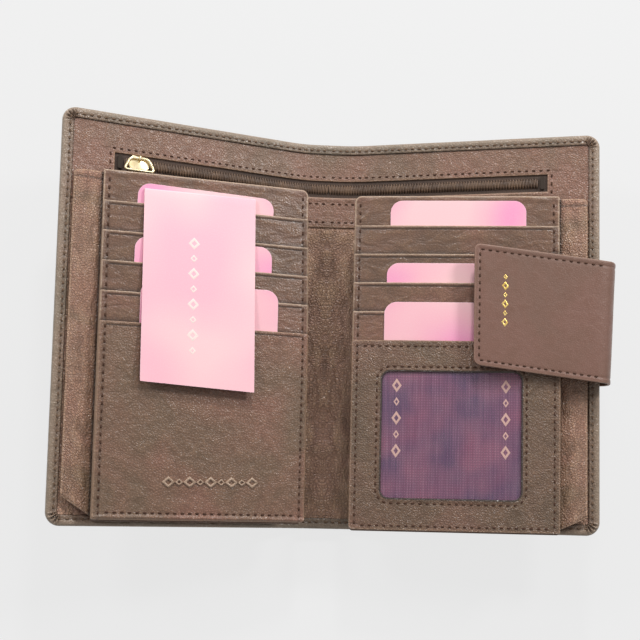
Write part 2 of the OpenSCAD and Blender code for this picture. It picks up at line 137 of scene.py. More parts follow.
def gridLines(low, high, step, insets, openEnds, extra):
    far, last = insets[-1], len(insets) - 1
    start = low if openEnds[0] else low + far
    stop = high if openEnds[1] else high - far
    wanted = sorted(x for x in extra if start < x < stop)
    even = np.linspace(start, stop, max(2, round((stop - start) / step)) + 1)
    field = [x for x in even if all(abs(x - w) > 0.3 for w in wanted)]
    field = sorted(set(field + wanted) | {float(even[0]), float(even[-1])})
    ahead = [] if openEnds[0] else [(low + d, k, -1) for k, d in enumerate(insets[:-1])]
    behind = [] if openEnds[1] else [(high - d, k, 1) for k, d in enumerate(insets[:-1])][::-1]
    return ahead + [(x, last, 0) for x in field] + behind


def cornerPoint(inset, far, radius, share):
    bend = max(radius - inset, 0)
    straight = far - max(radius, inset)
    along = share * (straight + bend * math.pi / 4)
    if along <= straight or bend == 0:
        return inset, far - along
    turn = (along - straight) / bend
    return radius - bend * math.cos(turn), radius - bend * math.sin(turn)


def layGrid(box, insets, radii, us, vs):
    far, last = insets[-1], len(insets) - 1
    u = np.zeros((len(us), len(vs)))
    v, ring = u.copy(), u.copy()
    level = np.zeros(u.shape, int)
    for i, (pu, ku, su) in enumerate(us):
        lineU = pu if not su else (box[0] + insets[ku] if su < 0 else box[2] - insets[ku])
        for j, (pv, kv, sv) in enumerate(vs):
            own = min(ku, kv)
            level[i, j], ring[i, j] = own, insets[own]
            if su and sv:
                corner = radii[(0 if su < 0 else 1) if sv < 0 else (3 if su < 0 else 2)]
                share = (last - max(ku, kv)) / (last - own)
                a, b = cornerPoint(insets[own], far, corner, share)
                a, b = (a, b) if ku <= kv else (b, a)
                u[i, j] = box[0] + a if su < 0 else box[2] - a
                v[i, j] = box[1] + b if sv < 0 else box[3] - b
            else:
                lineV = pv if not sv else (box[1] + insets[kv] if sv < 0 else box[3] - insets[kv])
                u[i, j], v[i, j] = lineU, lineV
    return u, v, level, ring


def placeInScene(name, data):
    made = bpy.data.objects.new(name, data)
    bpy.context.scene.collection.objects.link(made)
    return made


# seam: 1 where painted shade darkens a crease, a groove, a turned-under edge or the leather under a lip, and where
# stitches hold dark dye; rim: mm from the cut edge; cut: the flat piece in mm
def buildMesh(name, points, faces, material, cut=None, rim=None, weld=True, seam=None):
    mesh = bpy.data.meshes.new(name)
    mesh.from_pydata(np.asarray(points, float).tolist(), [], faces)
    for key, values in (("seam", seam), ("rim", rim)):
        if values is not None:
            mesh.attributes.new(key, "FLOAT", "POINT").data.foreach_set("value", np.asarray(values, np.float32))
    if cut is not None:
        corners = np.zeros(len(mesh.loops), int)
        mesh.loops.foreach_get("vertex_index", corners)
        layer = mesh.uv_layers.new(name="cut")
        layer.data.foreach_set("uv", np.asarray(cut, np.float32)[corners].ravel())
    work = bmesh.new()
    work.from_mesh(mesh)
    if weld:
        bmesh.ops.remove_doubles(work, verts=work.verts, dist=2e-6)
    bmesh.ops.recalc_face_normals(work, faces=work.faces)
    work.to_mesh(mesh)
    work.free()
    mesh.polygons.foreach_set("use_smooth", [True] * len(mesh.polygons))
    mesh.materials.append(material)
    return placeInScene(name, mesh)


def ringFaces(a, b, sides):  # quads between two rings of points whose first points are a and b
    return [(a + q, a + (q + 1) % sides, b + (q + 1) % sides, b + q) for q in range(sides)]


def runOf(path):  # the length run so far at each point
    return np.concatenate([[0], np.cumsum(np.linalg.norm(np.diff(path, axis=0), axis=1))])


def headingOf(path, run):
    heading = np.gradient(path, run, axis=0)
    return heading / np.linalg.norm(heading, axis=1)[:, None]


def rollOff(ring, roll):  # the quarter circle of a rolled edge: 0 at the rim, 1 past the roll
    return np.sqrt(np.clip(1 - (1 - np.minimum(ring / roll, 1)) ** 2, 0, 1))


def gridFaces(rows, columns, offset, skip=None):
    faces = []
    for i in range(rows - 1):
        for j in range(columns - 1):
            if skip is None or not skip[i, j]:
                a = offset + i * columns + j
                faces.append((a, a + 1, a + columns + 1, a + columns))
    return faces


# A sheet of leather or card with rolled edges. top and bottom give its faces at (u, v).
def cutSheet(name, box, place, top, bottom, material, radii=(0, 0, 0, 0), step=3, roll=0.3,
             insets=edgeInsets, openU=(False, False), hole=None, extraV=(), seam=None):
    extraU, extraV = [], list(extraV)
    if hole:
        for d in insets[:-2]:
            extraU += [hole[0] - d, hole[2] + d]
            extraV += [hole[1] - d, hole[3] + d]
    us = gridLines(box[0], box[2], step, insets, openU, extraU)
    vs = gridLines(box[1], box[3], step, insets, (False, False), extraV)
    u, v, _, ring = layGrid(box, insets, radii, us, vs)
    skip = None
    if hole:
        away = np.maximum.reduce([hole[0] - u, u - hole[2], hole[1] - v, v - hole[3]])
        ring = np.minimum(ring, np.maximum(away, 0))
        inside = away < 1e-6
        skip = inside[:-1, :-1] & inside[1:, :-1] & inside[:-1, 1:] & inside[1:, 1:]
    high = np.broadcast_to(np.asarray(top(u, v) if callable(top) else top, float), u.shape)
    low = np.broadcast_to(np.asarray(bottom(u, v) if callable(bottom) else bottom, float), u.shape)
    middle, half = (high + low) / 2, (high - low) / 2 * rollOff(ring, roll)
    points = [place(u, v, middle + half), place(u, v, middle - half)]
    rows, columns = u.shape
    faces = gridFaces(rows, columns, 0, skip)
    faces += [f[::-1] for f in gridFaces(rows, columns, rows * columns, skip)]
    flat = np.stack([u, v], -1).reshape(-1, 2)
    dark = np.clip(seam(u, v), 0, 1) if seam else 0 * u
    return buildMesh(
        name, np.concatenate([p.reshape(-1, 3) for p in points]), faces, material,
        np.concatenate([flat, flat]), np.tile(ring.ravel(), 2), seam=np.concatenate([dark.ravel(), 0 * dark.ravel()]),
    )


# A hide shell whose edge is turned over: front and back are (inset, lift) from the rim inwards
def turnedShell(name, box, place, front, back, material, radii, step, openU, relief):
    pieces, cuts, rims, seams, faces, count = [], [], [], [], [], 0
    for profile, isFront in ((front, True), (back, False)):
        insets = [p[0] for p in profile]
        lifts = np.array([p[1] for p in profile])
        us = gridLines(box[0], box[2], step, insets, openU, ())
        vs = gridLines(box[1], box[3], step, insets, (False, False), ())
        u, v, level, ring = layGrid(box, insets, radii, us, vs)
        lift, dark = relief(u, v, lifts[level], level, ring, isFront)
        seams.append(dark.ravel())
        pieces.append(place(u, v, lift).reshape(-1, 3))
        fold = np.cumsum([0] + [math.hypot(b[0] - a[0], b[1] - a[1]) for a, b in zip(profile, profile[1:])])
        shiftU = np.where(np.abs(u - box[2]) < insets[-1], fold[level] - ring, 0)
        cuts.append(np.stack([u - shiftU, v + (0 if isFront else 400)], -1).reshape(-1, 2))
        rims.append(ring.ravel())
        added = gridFaces(*u.shape, count)
        faces += added if isFront else [f[::-1] for f in added]
        count += u.size
    return buildMesh(name, np.concatenate(pieces), faces, material, np.concatenate(cuts), np.concatenate(rims),
                     seam=np.concatenate(seams))


# Round bars along paths, all in one mesh. Each path is an array of points in metres.
def roundBars(name, paths, radius, material, sides=8, closed=False):
    points, faces, cut, count = [], [], [], 0
    ring = np.linspace(0, 2 * math.pi, sides, endpoint=False)
    for path in paths:
        path = np.asarray(path, float)
        n = len(path)
        ahead = np.roll(path, -1, 0) - np.roll(path, 1, 0)
        if not closed:
            ahead[0], ahead[-1] = path[1] - path[0], path[-1] - path[-2]
        ahead /= np.linalg.norm(ahead, axis=1)[:, None]
        side = np.cross(ahead[0], [0, 0, 1])
        if np.linalg.norm(side) < 0.1:
            side = np.cross(ahead[0], [0, 1, 0])
        size = radius * np.ones(n) if np.isscalar(radius) else np.asarray(radius)
        for k in range(n):
            side = side - ahead[k] * (side @ ahead[k])
            side /= np.linalg.norm(side)
            other = np.cross(ahead[k], side)
            points.append(path[k] + size[k] * (np.cos(ring)[:, None] * side + np.sin(ring)[:, None] * other))
            cut.append(np.stack([np.full(sides, k * 1.0), ring * 0.3], -1))
        for k in range(n if closed else n - 1):
            faces += ringFaces(count + k * sides, count + (k + 1) % n * sides, sides)
        if not closed:
            faces.append(tuple(range(count, count + sides))[::-1])
            faces.append(tuple(range(count + (n - 1) * sides, count + n * sides)))
        count += n * sides
    return buildMesh(name, np.concatenate(points), faces, material, np.concatenate(cut), weld=False)


def roundRing(box, radii, inset, perCorner=7, perSide=(14, 10)):
    u0, v0, u1, v1 = box[0] + inset, box[1] + inset, box[2] - inset, box[3] - inset
    hubs = [(u0, v0, 180), (u1, v0, 270), (u1, v1, 0), (u0, v1, 90)]
    sx, sy = (1, -1, -1, 1), (1, 1, -1, -1)
    arcs = []
    for c, (hu, hv, start) in enumerate(hubs):
        r = max(radii[c] - inset, 0.02)
        cu, cv = hu + sx[c] * r, hv + sy[c] * r
        arcs.append([(cu + r * math.cos(math.radians(start + q * 90 / perCorner)),
                      cv + r * math.sin(math.radians(start + q * 90 / perCorner)))
                     for q in range(perCorner + 1)])
    ring = []
    for c in range(4):
        ring += arcs[c]
        a, b = arcs[c][-1], arcs[(c + 1) % 4][0]
        many = perSide[c % 2]
        ring += [(a[0] + (b[0] - a[0]) * q / many, a[1] + (b[1] - a[1]) * q / many) for q in range(1, many)]
    return np.array(ring)


# Materials. Pattern sizes are real sizes in mm: the "cut" map is the flat piece in mm.


def linear(code):  # sRGB hex to the linear colour that Blender works in
    parts = [int(code[i : i + 2], 16) / 255 for i in (1, 3, 5)]
    return tuple(p / 12.92 if p <= 0.04045 else ((p + 0.055) / 1.055) ** 2.4 for p in parts) + (1,)


def addNode(tree, kind, inputs=None, **settings):
    made = tree.nodes.new(kind)
    for key, value in settings.items():
        setattr(made, key, value)
    for key, value in (inputs or {}).items():
        if isinstance(value, bpy.types.NodeSocket):
            tree.links.new(value, made.inputs[key])
        else:
            made.inputs[key].default_value = value
    return made


def mapOf(tree, space):  # "UV" is the cut map in mm, "Object" is in metres
    return addNode(tree, "ShaderNodeTexCoord").outputs[space]


def noiseOf(tree, place, scale, detail=2.0, **more):
    return addNode(tree, "ShaderNodeTexNoise", {"Vector": place, "Scale": scale, "Detail": detail, **more}).outputs[0]


def stretched(tree, place, scale):
    return addNode(tree, "ShaderNodeMapping", {"Vector": place, "Scale": scale}).outputs[0]


def remapped(tree, value, old, new, **settings):
    ends = {"Value": value, "From Min": old[0], "From Max": old[1], "To Min": new[0], "To Max": new[1]}
    return addNode(tree, "ShaderNodeMapRange", ends, **settings).outputs[0]


def attributeOf(tree, name):
    return addNode(tree, "ShaderNodeAttribute", attribute_name=name).outputs["Fac"]


def colouredOver(tree, factor, under, code):
    return addNode(tree, "ShaderNodeMix", {0: factor, 6: under, 7: linear(code)}, data_type="RGBA").outputs[2]


def reliefOf(tree, height, strength, distance, **more):
    inputs = {"Height": height, "Strength": strength, "Distance": distance, **more}
    return addNode(tree, "ShaderNodeBump", inputs).outputs[0]


def colourRamp(tree, factor, stops):
    ramp = addNode(tree, "ShaderNodeValToRGB", {"Fac": factor})
    points = ramp.color_ramp.elements
    while len(points) < len(stops):
        points.new(0.5)
    for point, (place, code) in zip(points, stops):
        point.position, point.color = place, linear(code)
    return ramp.outputs[0]


def newMaterial(name, surface):  # surface gives the shader's output socket
    material = bpy.data.materials.new(name)
    material.use_nodes = True
    tree = material.node_tree
    tree.nodes.clear()
    addNode(tree, "ShaderNodeOutputMaterial", {"Surface": surface(tree)})
    return material


def paintedMaterial(name, paint, look):  # paint gives the principled shader's inputs
    return newMaterial(name, lambda tree: addNode(tree, "ShaderNodeBsdfPrincipled", paint(tree, look)).outputs[0])


# Drum-dyed leather: the dye takes unevenly; the crease tops get a painted highlight, the hollows of the creases
# and the grain get painted shade, and the edges go pale with wear and a painted highlight.
def leatherPaint(tree, look):
    place, grain, mottle = mapOf(tree, "UV"), look["grain"], look["mottle"]
    wander = addNode(tree, "ShaderNodeTexNoise", {"Vector": place, "Scale": 1 / 2.2, "Detail": 2.0})
    bent = addNode(tree, "ShaderNodeVectorMath", {0: wander.outputs["Color"], "Scale": 1.2 * grain}, operation="SCALE")
    moved = addNode(tree, "ShaderNodeVectorMath", {0: place, 1: bent.outputs[0]}, operation="ADD").outputs[0]
    pebbles = addNode(tree, "ShaderNodeTexVoronoi", {"Vector": moved, "Scale": 1 / grain}, feature="DISTANCE_TO_EDGE")
    pebble = remapped(tree, pebbles.outputs["Distance"], (0, 0.28), (0, 1), interpolation_type="SMOOTHSTEP")
    pulled = stretched(tree, place, look["pull"])
    creases = noiseOf(tree, pulled, 1 / look["crease"], 3.0, Roughness=0.5, Distortion=0.7)
    dye = noiseOf(tree, place, 1 / look["patch"], Distortion=0.8)
    colour = colourRamp(tree, dye, list(zip((0.36, 0.5, 0.64), look["dye"])))
    # worn is a painted highlight on the crease tops; pore is painted shade in the crease and grain hollows
    layers = (
        ("worn", creases, (0.48, 0.74), (0, mottle)),
        ("pore", creases, (0.28, 0.47), (mottle * 0.55, 0)),
        ("pore", pebble, (0, 1), (look["valley"], 0)),
        # the pale edge colour is part wear and part painted highlight on the rolled edges
        ("rubbed", attributeOf(tree, "rim"), (0.1, look["edgeWidth"]), (look["edge"], 0)),
    )
    for code, value, old, new in layers:
        colour = colouredOver(tree, remapped(tree, value, old, new), colour, look[code])
    # painted shade from the seam mark, together with the dark dye along the stitch rows
    colour = colouredOver(tree, attributeOf(tree, "seam"), colour, look["deep"])
    bump = reliefOf(tree, pebble, look["relief"], 0.00028)
    return {
        "Base Color": colour,
        "Roughness": remapped(tree, creases, (0.3, 0.7), (look["rough"] + 0.14, look["rough"] - 0.1)),
        "Normal": reliefOf(tree, creases, look["crinkle"], 0.0036, Normal=bump),
        "IOR": 1.5,
        "Sheen Weight": look["sheen"],
        "Sheen Roughness": 0.5,
    }


innerLook = {  # sizes in mm; pull stretches the creases along the way the leather was drawn
    "grain": 1.1, "crease": 4.6, "pull": (1, 1, 1), "patch": 34, "dye": ("#745b46", "#7f5e4a", "#89614f"),
    "worn": "#a38068", "pore": "#35241a", "valley": 0.34, "rubbed": "#b8967c", "edge": 0.5, "edgeWidth": 0.95,
    "deep": "#271a12", "rough": 0.36, "relief": 0.4, "crinkle": 0.2, "mottle": 0.3, "sheen": 0.05,
}
leatherLooks = {
    "drum_dyed_cow_leather": {},  # brown with olive and rosy patches, satin
    "pebbled_cover_hide": {  # greyer, larger grain, pale at the roll with wear and a painted highlight
        "grain": 1.25, "dye": ("#706150", "#7d6956", "#886d5b"), "worn": "#a28d76", "rubbed": "#ab9a87",
        "edgeWidth": 3.2},
    "rolled_slot_leather": {  # smoother, pale on the turned edge with wear and a painted highlight
        "dye": ("#6a4f3d", "#765644", "#815b4a"), "worn": "#97775f", "edge": 0.8, "rubbed": "#bfa48c",
        "relief": 0.22, "rough": 0.33, "pull": (0.6, 1.1, 1), "mottle": 0.45, "crinkle": 0.22},
    "bellied_gusset_leather": {  # stretched over its belly, so the grain glints
        "dye": ("#8d7158", "#9e7862", "#aa7d68"), "worn": "#cba68a", "relief": 0.85, "rough": 0.33,
        "mottle": 0.5, "crinkle": 0.36, "pull": (1.3, 0.5, 1), "edge": 0.8},
    "window_frame_leather": {  # a darker cut
        "dye": ("#69523e", "#735743", "#7c5b49"), "worn": "#98795f", "relief": 0.6},
    "smooth_tab_leather": {  # pressed flat, even and warm
        "dye": ("#735547", "#775648", "#7b584b"), "worn": "#825d4c", "valley": 0.14, "relief": 0.15,
        "crinkle": 0.06, "rough": 0.42, "rubbed": "#9c7e6c", "grain": 0.9, "mottle": 0.08},
    "dark_split_leather": {  # the unseen side's darker second layer
        "dye": ("#4a382b", "#563f31", "#5f4638"), "worn": "#6c5241", "rubbed": "#846651", "edge": 0.4,
        "rough": 0.52},
    "grained_lining_leather": {  # soft, strongly grained, with painted shade in its valleys
        "dye": ("#a07e64", "#ad866f", "#b88d79"), "worn": "#dab492", "relief": 0.85, "grain": 1.3,
        "rough": 0.34, "crinkle": 0.55, "crease": 6, "mottle": 0.65, "pull": (1.2, 0.45, 1)},
}
cowLeather, coverHide, slotLeather, stripLeather, frameLeather, tabLeather, splitLeather, liningLeather = (
    paintedMaterial(name, leatherPaint, {**innerLook, **look}) for name, look in leatherLooks.items())


# Woven polyester: warp and weft threads cross, which reads as a fine mesh with a satin streak
def wovenPaint(tree, look):
    place = mapOf(tree, "UV")
    threads = {"Vector": place, "Scale": 0.314 / look["thread"], "Distortion": 0.5, "Detail": 1.0}
    across, along = (addNode(tree, "ShaderNodeTexWave", threads, bands_direction=way).outputs["Fac"] for way in "XY")
    crossed = addNode(tree, "ShaderNodeMath", {0: across, 1: along}, operation="MULTIPLY").outputs[0]
    slubs = noiseOf(tree, stretched(tree, place, (1 / 0.9, 1 / 26, 1)), 1.0, 3.0)
    cloud = noiseOf(tree, place, 1 / 22)
    colour = colourRamp(tree, cloud, [(0.38, look["dark"]), (0.62, look["light"])])
    colour = colouredOver(tree, remapped(tree, slubs, (0.4, 0.7), (0, look["slub"])), colour, look["shine"])
    colour = colouredOver(tree, remapped(tree, crossed, (0, 1), (look["gap"], 0)), colour, look["deep"])
    return {"Base Color": colour, "Normal": reliefOf(tree, crossed, 0.6, 0.0001), "Roughness": look["rough"],
            "Sheen Weight": 0.25}


satinLining = paintedMaterial("woven_satin_lining", wovenPaint, {
    "thread": 1.15, "dark": "#58325a", "light": "#914f69", "shine": "#b9829a", "slub": 0.3, "gap": 0.5,
    "deep": "#3a1c38", "rough": 0.4})  # plum polyester with a two-tone shimmer; threads drawn coarse to show
zipWeave = paintedMaterial("woven_zip_tape", wovenPaint, {
    "thread": 0.8, "dark": "#3f2e24", "light": "#4d392d", "shine": "#614b3c", "slub": 0.4, "gap": 0.4,
    "deep": "#241912", "rough": 0.8})  # dull dark twill


# One fine pattern shades a plain material and gives it its relief
def plainPaint(tree, look):
    kind, space, inputs, settings = look["pattern"]
    shade = addNode(tree, kind, {"Vector": mapOf(tree, space), **inputs}, **settings).outputs["Fac"]
    inputs = {
        "Base Color": colourRamp(tree, shade, list(zip(look["spread"], look["codes"]))),
        "Normal": reliefOf(tree, shade, *look["relief"]),
        "Roughness": look["rough"],
    }
    if "veil" in look:
        inputs["Alpha"] = remapped(tree, shade, (0, 1), look["veil"])
    return inputs


def plainMaterial(name, pattern, spread, codes, relief, rough, **more):
    look = {"pattern": pattern, "spread": spread, "codes": codes, "relief": relief, "rough": rough, **more}
    return paintedMaterial(name, plainPaint, look)


def threadMaterial(name, *codes):  # waxed polyester: two plies twisted, drawn as fine slanted stripes
    plies = ("ShaderNodeTexWave", "UV", {"Scale": 1.6, "Distortion": 0.2}, {"bands_direction": "DIAGONAL"})
    return plainMaterial(name, plies, (0.2, 0.8), codes, (0.4, 0.00006), 0.9)


# Die-cast zinc, plated pale gold and polished: bright, with faint polishing streaks
def platedPaint(tree, look):
    place = mapOf(tree, "Object")
    cloud = noiseOf(tree, place, 260.0, 3.0)
    polish = noiseOf(tree, stretched(tree, place, (900.0, 90.0, 90.0)), 1.0)
    return {
        "Base Color": colourRamp(tree, cloud, list(zip((0.35, 0.65), look["codes"]))),
        "Roughness": remapped(tree, polish, (0, 1), (look["rough"], look["rough"] + 0.12)),
        "Normal": reliefOf(tree, polish, 0.1, 0.00002),
        "Metallic": 1.0,
    }


# Coated card: printed in drifting pinks under a thin varnish; the cut edge shows the white core
def cardPaint(tree, inks):
    place = mapOf(tree, "UV")
    fibre = noiseOf(tree, place, 1 / 0.6, 3.0)
    colour = colourRamp(tree, noiseOf(tree, place, 1 / 46, 1.0), list(zip((0.36, 0.5, 0.62), inks)))
    colour = colouredOver(tree, remapped(tree, fibre, (0.45, 0.8), (0, 0.14)), colour, "#fdeaf0")
    colour = colouredOver(tree, remapped(tree, attributeOf(tree, "rim"), (0, 0.15), (0.8, 0)), colour, "#fbe8ee")
    return {"Base Color": colour, "Normal": reliefOf(tree, fibre, 0.15, 0.00003), "Roughness": 0.52}


def noisePattern(space, scale, detail=2.0):
    return "ShaderNodeTexNoise", space, {"Scale": scale, "Detail": detail}, {}


coilNylon = plainMaterial("nylon_coil", noisePattern("Object", 160.0), (0.35, 0.65), ("#5a4434", "#7a5f49"),
                          (0.3, 0.00008), 0.4)  # moulded monofilament with the soft shine of a fishing line
brownThread = threadMaterial("twisted_polyester_thread", "#371f14", "#573a29")
hideThread = threadMaterial("hide_coloured_thread", "#5a4433", "#7c6450")
paleGold = paintedMaterial("plated_zinc", platedPaint, {"codes": ("#dac79c", "#efe0bd"), "rough": 0.22})
goldFoil = paintedMaterial("stamped_foil", platedPaint, {"codes": ("#c9a85a", "#e6cd86"), "rough": 0.3})
pinkCard = paintedMaterial("varnished_pink_card", cardPaint, ("#f29bc2", "#f8b9c5", "#fac8cb"))
paleCard = paintedMaterial("varnished_pale_card", cardPaint, ("#f9b8c6", "#fbc2ca", "#fccbce"))
darkNylon = threadMaterial("moulded_nylon_stop", "#33281f", "#4a3a30")
paleInk = threadMaterial("pale_screen_ink", "#f8dcd8", "#fdece4")
rosyInk = threadMaterial("rosy_screen_ink", "#c79a92", "#e0b9aa")
clearVinyl = plainMaterial("clear_vinyl", noisePattern("UV", 1 / 14), (0.3, 0.7), ("#c7ccd6", "#e3e6ea"),
                           (0.2, 0.0004), 0.12, veil=(0.01, 0.04))  # nearly unseen but for a milky cast
millboard = plainMaterial("pressed_millboard", noisePattern("Object", 700.0, 4.0), (0.3, 0.7), ("#a3927a", "#c4b59c"),
                          (0.3, 0.0001), 0.85)  # grey pressed paper fibre, matt
print("materials made")

# Cover: one hide, turned over at its edge into a flat band

cover = {
    "radius": 6,
    "pleats": 4.5,  # gathers that take up the hide in each corner
    "pleatDepth": 0.75,
}
rimFront = [(0, 2.05), (0, 2.4), (0.04, 2.75), (0.14, 3.1), (0.3, 3.42), (0.55, 3.7), (0.9, 3.92), (1.35, 4.07),
            (1.9, 4.13), (2.5, 4.12), (2.95, 4.05), (3.3, 4.05), (3.7, 4.08), (4.1, 4.06), (4.45, 3.98), (4.7, 3.84),
            (4.8, 3.66), (4.72, 3.5), (4.5, 3.43), (4.0, 3.41), (3.0, 3.41), (1.8, 3.41), (1.1, 3.35), (0.95, 3.1),
            (0.92, 1.6), (1.0, 1.05), (1.5, 0.92), (6.2, 0.9)]
rimBack = [(0, 2.05), (0, 1.8), (0.02, 1.5), (0.08, 1.2), (0.18, 0.92), (0.33, 0.66), (0.55, 0.43), (0.82, 0.25),
           (1.15, 0.12), (1.5, 0.04), (1.9, 0.0)] + [(1.9 + 4.3 * q / 17, 0.0) for q in range(1, 18)]
hemLine = 140.3


def coverRelief(u, v, lift, level, ring, isFront):
    onBand = isFront & (lift > 3.3)
    low = ease(v, hemLine + 3, hemLine - 1)  # below the zip panel the band lies on the lining
    lift = lift - np.where(onBand, 0.58 * low * np.clip(ring / 3.5, 0, 1), 0)
    top, outer = wallet["height"] - v, wallet["pageWidth"] + spineHalf - u
    far, pleatShade = 6.2, 0 * u
    for other in (top, v):
        a, b = far - outer, far - other
        turn = np.arctan2(np.maximum(a, 1e-6), np.maximum(b, 1e-6))
        near = ease(a, -1, 2.5) * ease(b, -1, 2.5)
        gather = np.cos(turn * 4 * cover["pleats"])
        lift = lift + np.where(isFront & (lift > 2.9), cover["pleatDepth"] * gather * near * ease(ring, 0.2, 2), 0)
        pleatShade = np.maximum(pleatShade, near * ease(-gather, 0.1, 0.9) * ease(ring, 0.6, 2))
    wander = drift(u, v, 14, 5.5 if isFront else 9.5)
    groove = hump(ring - 3.05, 0.35) * (level < 14)
    # painted shade in the corner pleats' folds and on the band's turned-under lip; along the stitch groove, dark dye
    # and painted shade
    dark = np.where(isFront, np.maximum.reduce([0.75 * pleatShade, 0.85 * (level > 14) * (level < 24), 0.4 * groove]), 0)
    return lift + np.where(level < 14 if isFront else ring > 3, 0.14 * wander, 0) - 0.1 * groove * isFront, dark


def coverHalf(side):
    piece = turnedShell(
        side + "Cover", (0, 0, wallet["pageWidth"] + spineHalf, wallet["height"]), partial(onPage, side), rimFront,
        rimBack, coverHide, (0, cover["radius"], cover["radius"], 0), 2.2, (True, False), coverRelief)
    bendWith(piece, side)
    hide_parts("spine_cover", side + "_cover", side + "_fold")


def bendWith(piece, side):  # bake the piece's placement into its mesh; the piece already follows the crease
    start, end = onPage(side, spineHalf - 7.5, 90, 1.7), onPage(side, spineHalf + 7.5, 90, 1.7)
    tuple(start)
    tuple(end)
    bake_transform(piece)


# Lining and zip panel: both run across the spine

spineWear = {"ridge": 0.5, "ridgeAt": 7.5, "wrinkle": 0.2, "wrinklePitch": 4.2}


def liningHalf(side):
    def top(u, v):
        x = signOf[side] * u
        ridge = spineWear["ridge"] * hump(x - spineWear["ridgeAt"] - 0.03 * v, 1.5) * (1 - ease(v, 12, 52))
        soft = 0.13 * drift(x, v * 0.35, 5, 2.2) * (1 - ease(u, 18, 30))
        return 2.8 + (ridge + soft - 0.06) * (1 - ease(v, 132, 138))

    box = (0, 0.9, wallet["pageWidth"] + spineHalf - 0.9, 145.3)
    piece = cutSheet(side + "Lining", box, partial(onPage, side), top, 2.2, liningLeather, (0, 5.1, 0, 0), 2.4,
                     openU=(True, False))
    bendWith(piece, side)
    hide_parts("spine_lining", side + "_lining")


zipPanel = {"low": 154.6, "high": 162.4, "end": 90, "lip": 0.16, "tape": (148.5, 168.5), "tapeEnd": 94}


def zipPanelHalf(side):
    endU = zipPanel["end"] + spineHalf

    def top(u, v):
        x = signOf[side] * u
        away = np.maximum.reduce([u - endU, zipPanel["low"] - v, v - zipPanel["high"]])
        lip = zipPanel["lip"] * hump(away - 1.0, 0.9)
        hem = 0.14 * hump(v - hemLine - 1.3, 1.2)
        wave = np.sin(2 * math.pi * x / spineWear["wrinklePitch"] + 1.2 * drift(x, v, 9, 4))
        wrinkle = spineWear["wrinkle"] * hump(u, 13) * wave
        return 3.4 + lip + hem + wrinkle * ease(v, 160, 168) + 0.1 * drift(x, v, 16, 6.6)

    piece = cutSheet(side + "ZipPanel", (0, hemLine, wallet["pageWidth"] + spineHalf - 0.9, 179.1),
                     partial(onPage, side), top, 2.8, cowLeather, (0, 0, 5.1, 0), 2.2,
                     openU=(True, False), hole=(-5, zipPanel["low"], endU, zipPanel["high"]))
    bendWith(piece, side)
    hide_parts("spine_zip_panel", side + "_zip_panel")


def zipTapeHalf(side):
    low, high = zipPanel["tape"]
    box = (0, low, zipPanel["tapeEnd"] + spineHalf, high)
    piece = cutSheet(side + "ZipTape", box, partial(onPage, side), 2.77, 2.4, zipWeave, openU=(True, False), roll=0.15)
    bendWith(piece, side)
    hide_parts("spine_zip_tape", side + "_zip_tape", side + "_zip_fold")


coil = {"pitch": 1.25, "middle": 158.5, "wire": 0.25, "end": 86.4}


def zipCoilHalf(side):
    paths = []
    count = int((coil["end"] + spineHalf) / coil["pitch"])
    for k in range(count):
        for row in (1, -1):  # the upper and lower tapes' turns lock into each other
            u = 0.4 + coil["pitch"] * (k + (0 if row > 0 else 0.5))
            along = np.array([-0.25, -0.1, 0.0, 0.05, 0.1, 0.12]) + u
            across = coil["middle"] + row * np.array([2.15, 2.0, 1.3, 0.0, -1.1, -1.5])
            lift = np.array([2.95, 3.3, 3.5, 3.55, 3.35, 3.0])
            paths.append(onPage(side, along, across, lift))
    piece = roundBars(side + "ZipCoil", paths, coil["wire"] * mm, coilNylon, 6)
    bendWith(piece, side)
    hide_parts("spine_zip_coil", side + "_zip_coil")


for side in ("left", "right"):
    coverHalf(side)
    liningHalf(side)
    zipPanelHalf(side)
    zipTapeHalf(side)
    zipCoilHalf(side)
    for node in (side + "_board", "zip_start_stop" if side == "left" else "zip_end_stop"):
        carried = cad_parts[node]
        carried.data.materials.clear()
        carried.data.materials.append(millboard if "board" in node else darkNylon)
print("cover, lining and zip laid")

# Card panels

panel = {
    "strip": 12.9,
    "width": 91.5,
    "height": 150,
    "firstSlot": 13.8,
    "pitch": 13.2,
    "stripCut": {"left": 9.5, "right": 7},
    "topLift": 1.8,
    "crown": 1.25,  # how far the gusset strip bellies up
    "lastSlot": {"left": 5, "right": 4},
}
panelEnd = panel["strip"] + panel["width"]


def sewnDown(away, depth=0.2):  # a row of stitches pulls the leather down
    return depth * hump(away, 0.5)


def slotEdge(k):
    return panel["height"] - panel["firstSlot"] - (k - 1) * panel["pitch"]


def slotLift(side, k):
    if side == "left":
        return panel["topLift"] if k == 1 else 3.15 + (k - 2)
    return panel["topLift"] + (k - 1)


def slotGap(side, k):  # the first left slot holds two thicknesses of the folded card
    return 0.85 if (side, k) == ("left", 1) else 0.5


def rideFor(piece, body, node):  # the piece moves with the body and stands for the node
    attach(piece, body)
    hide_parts(node)


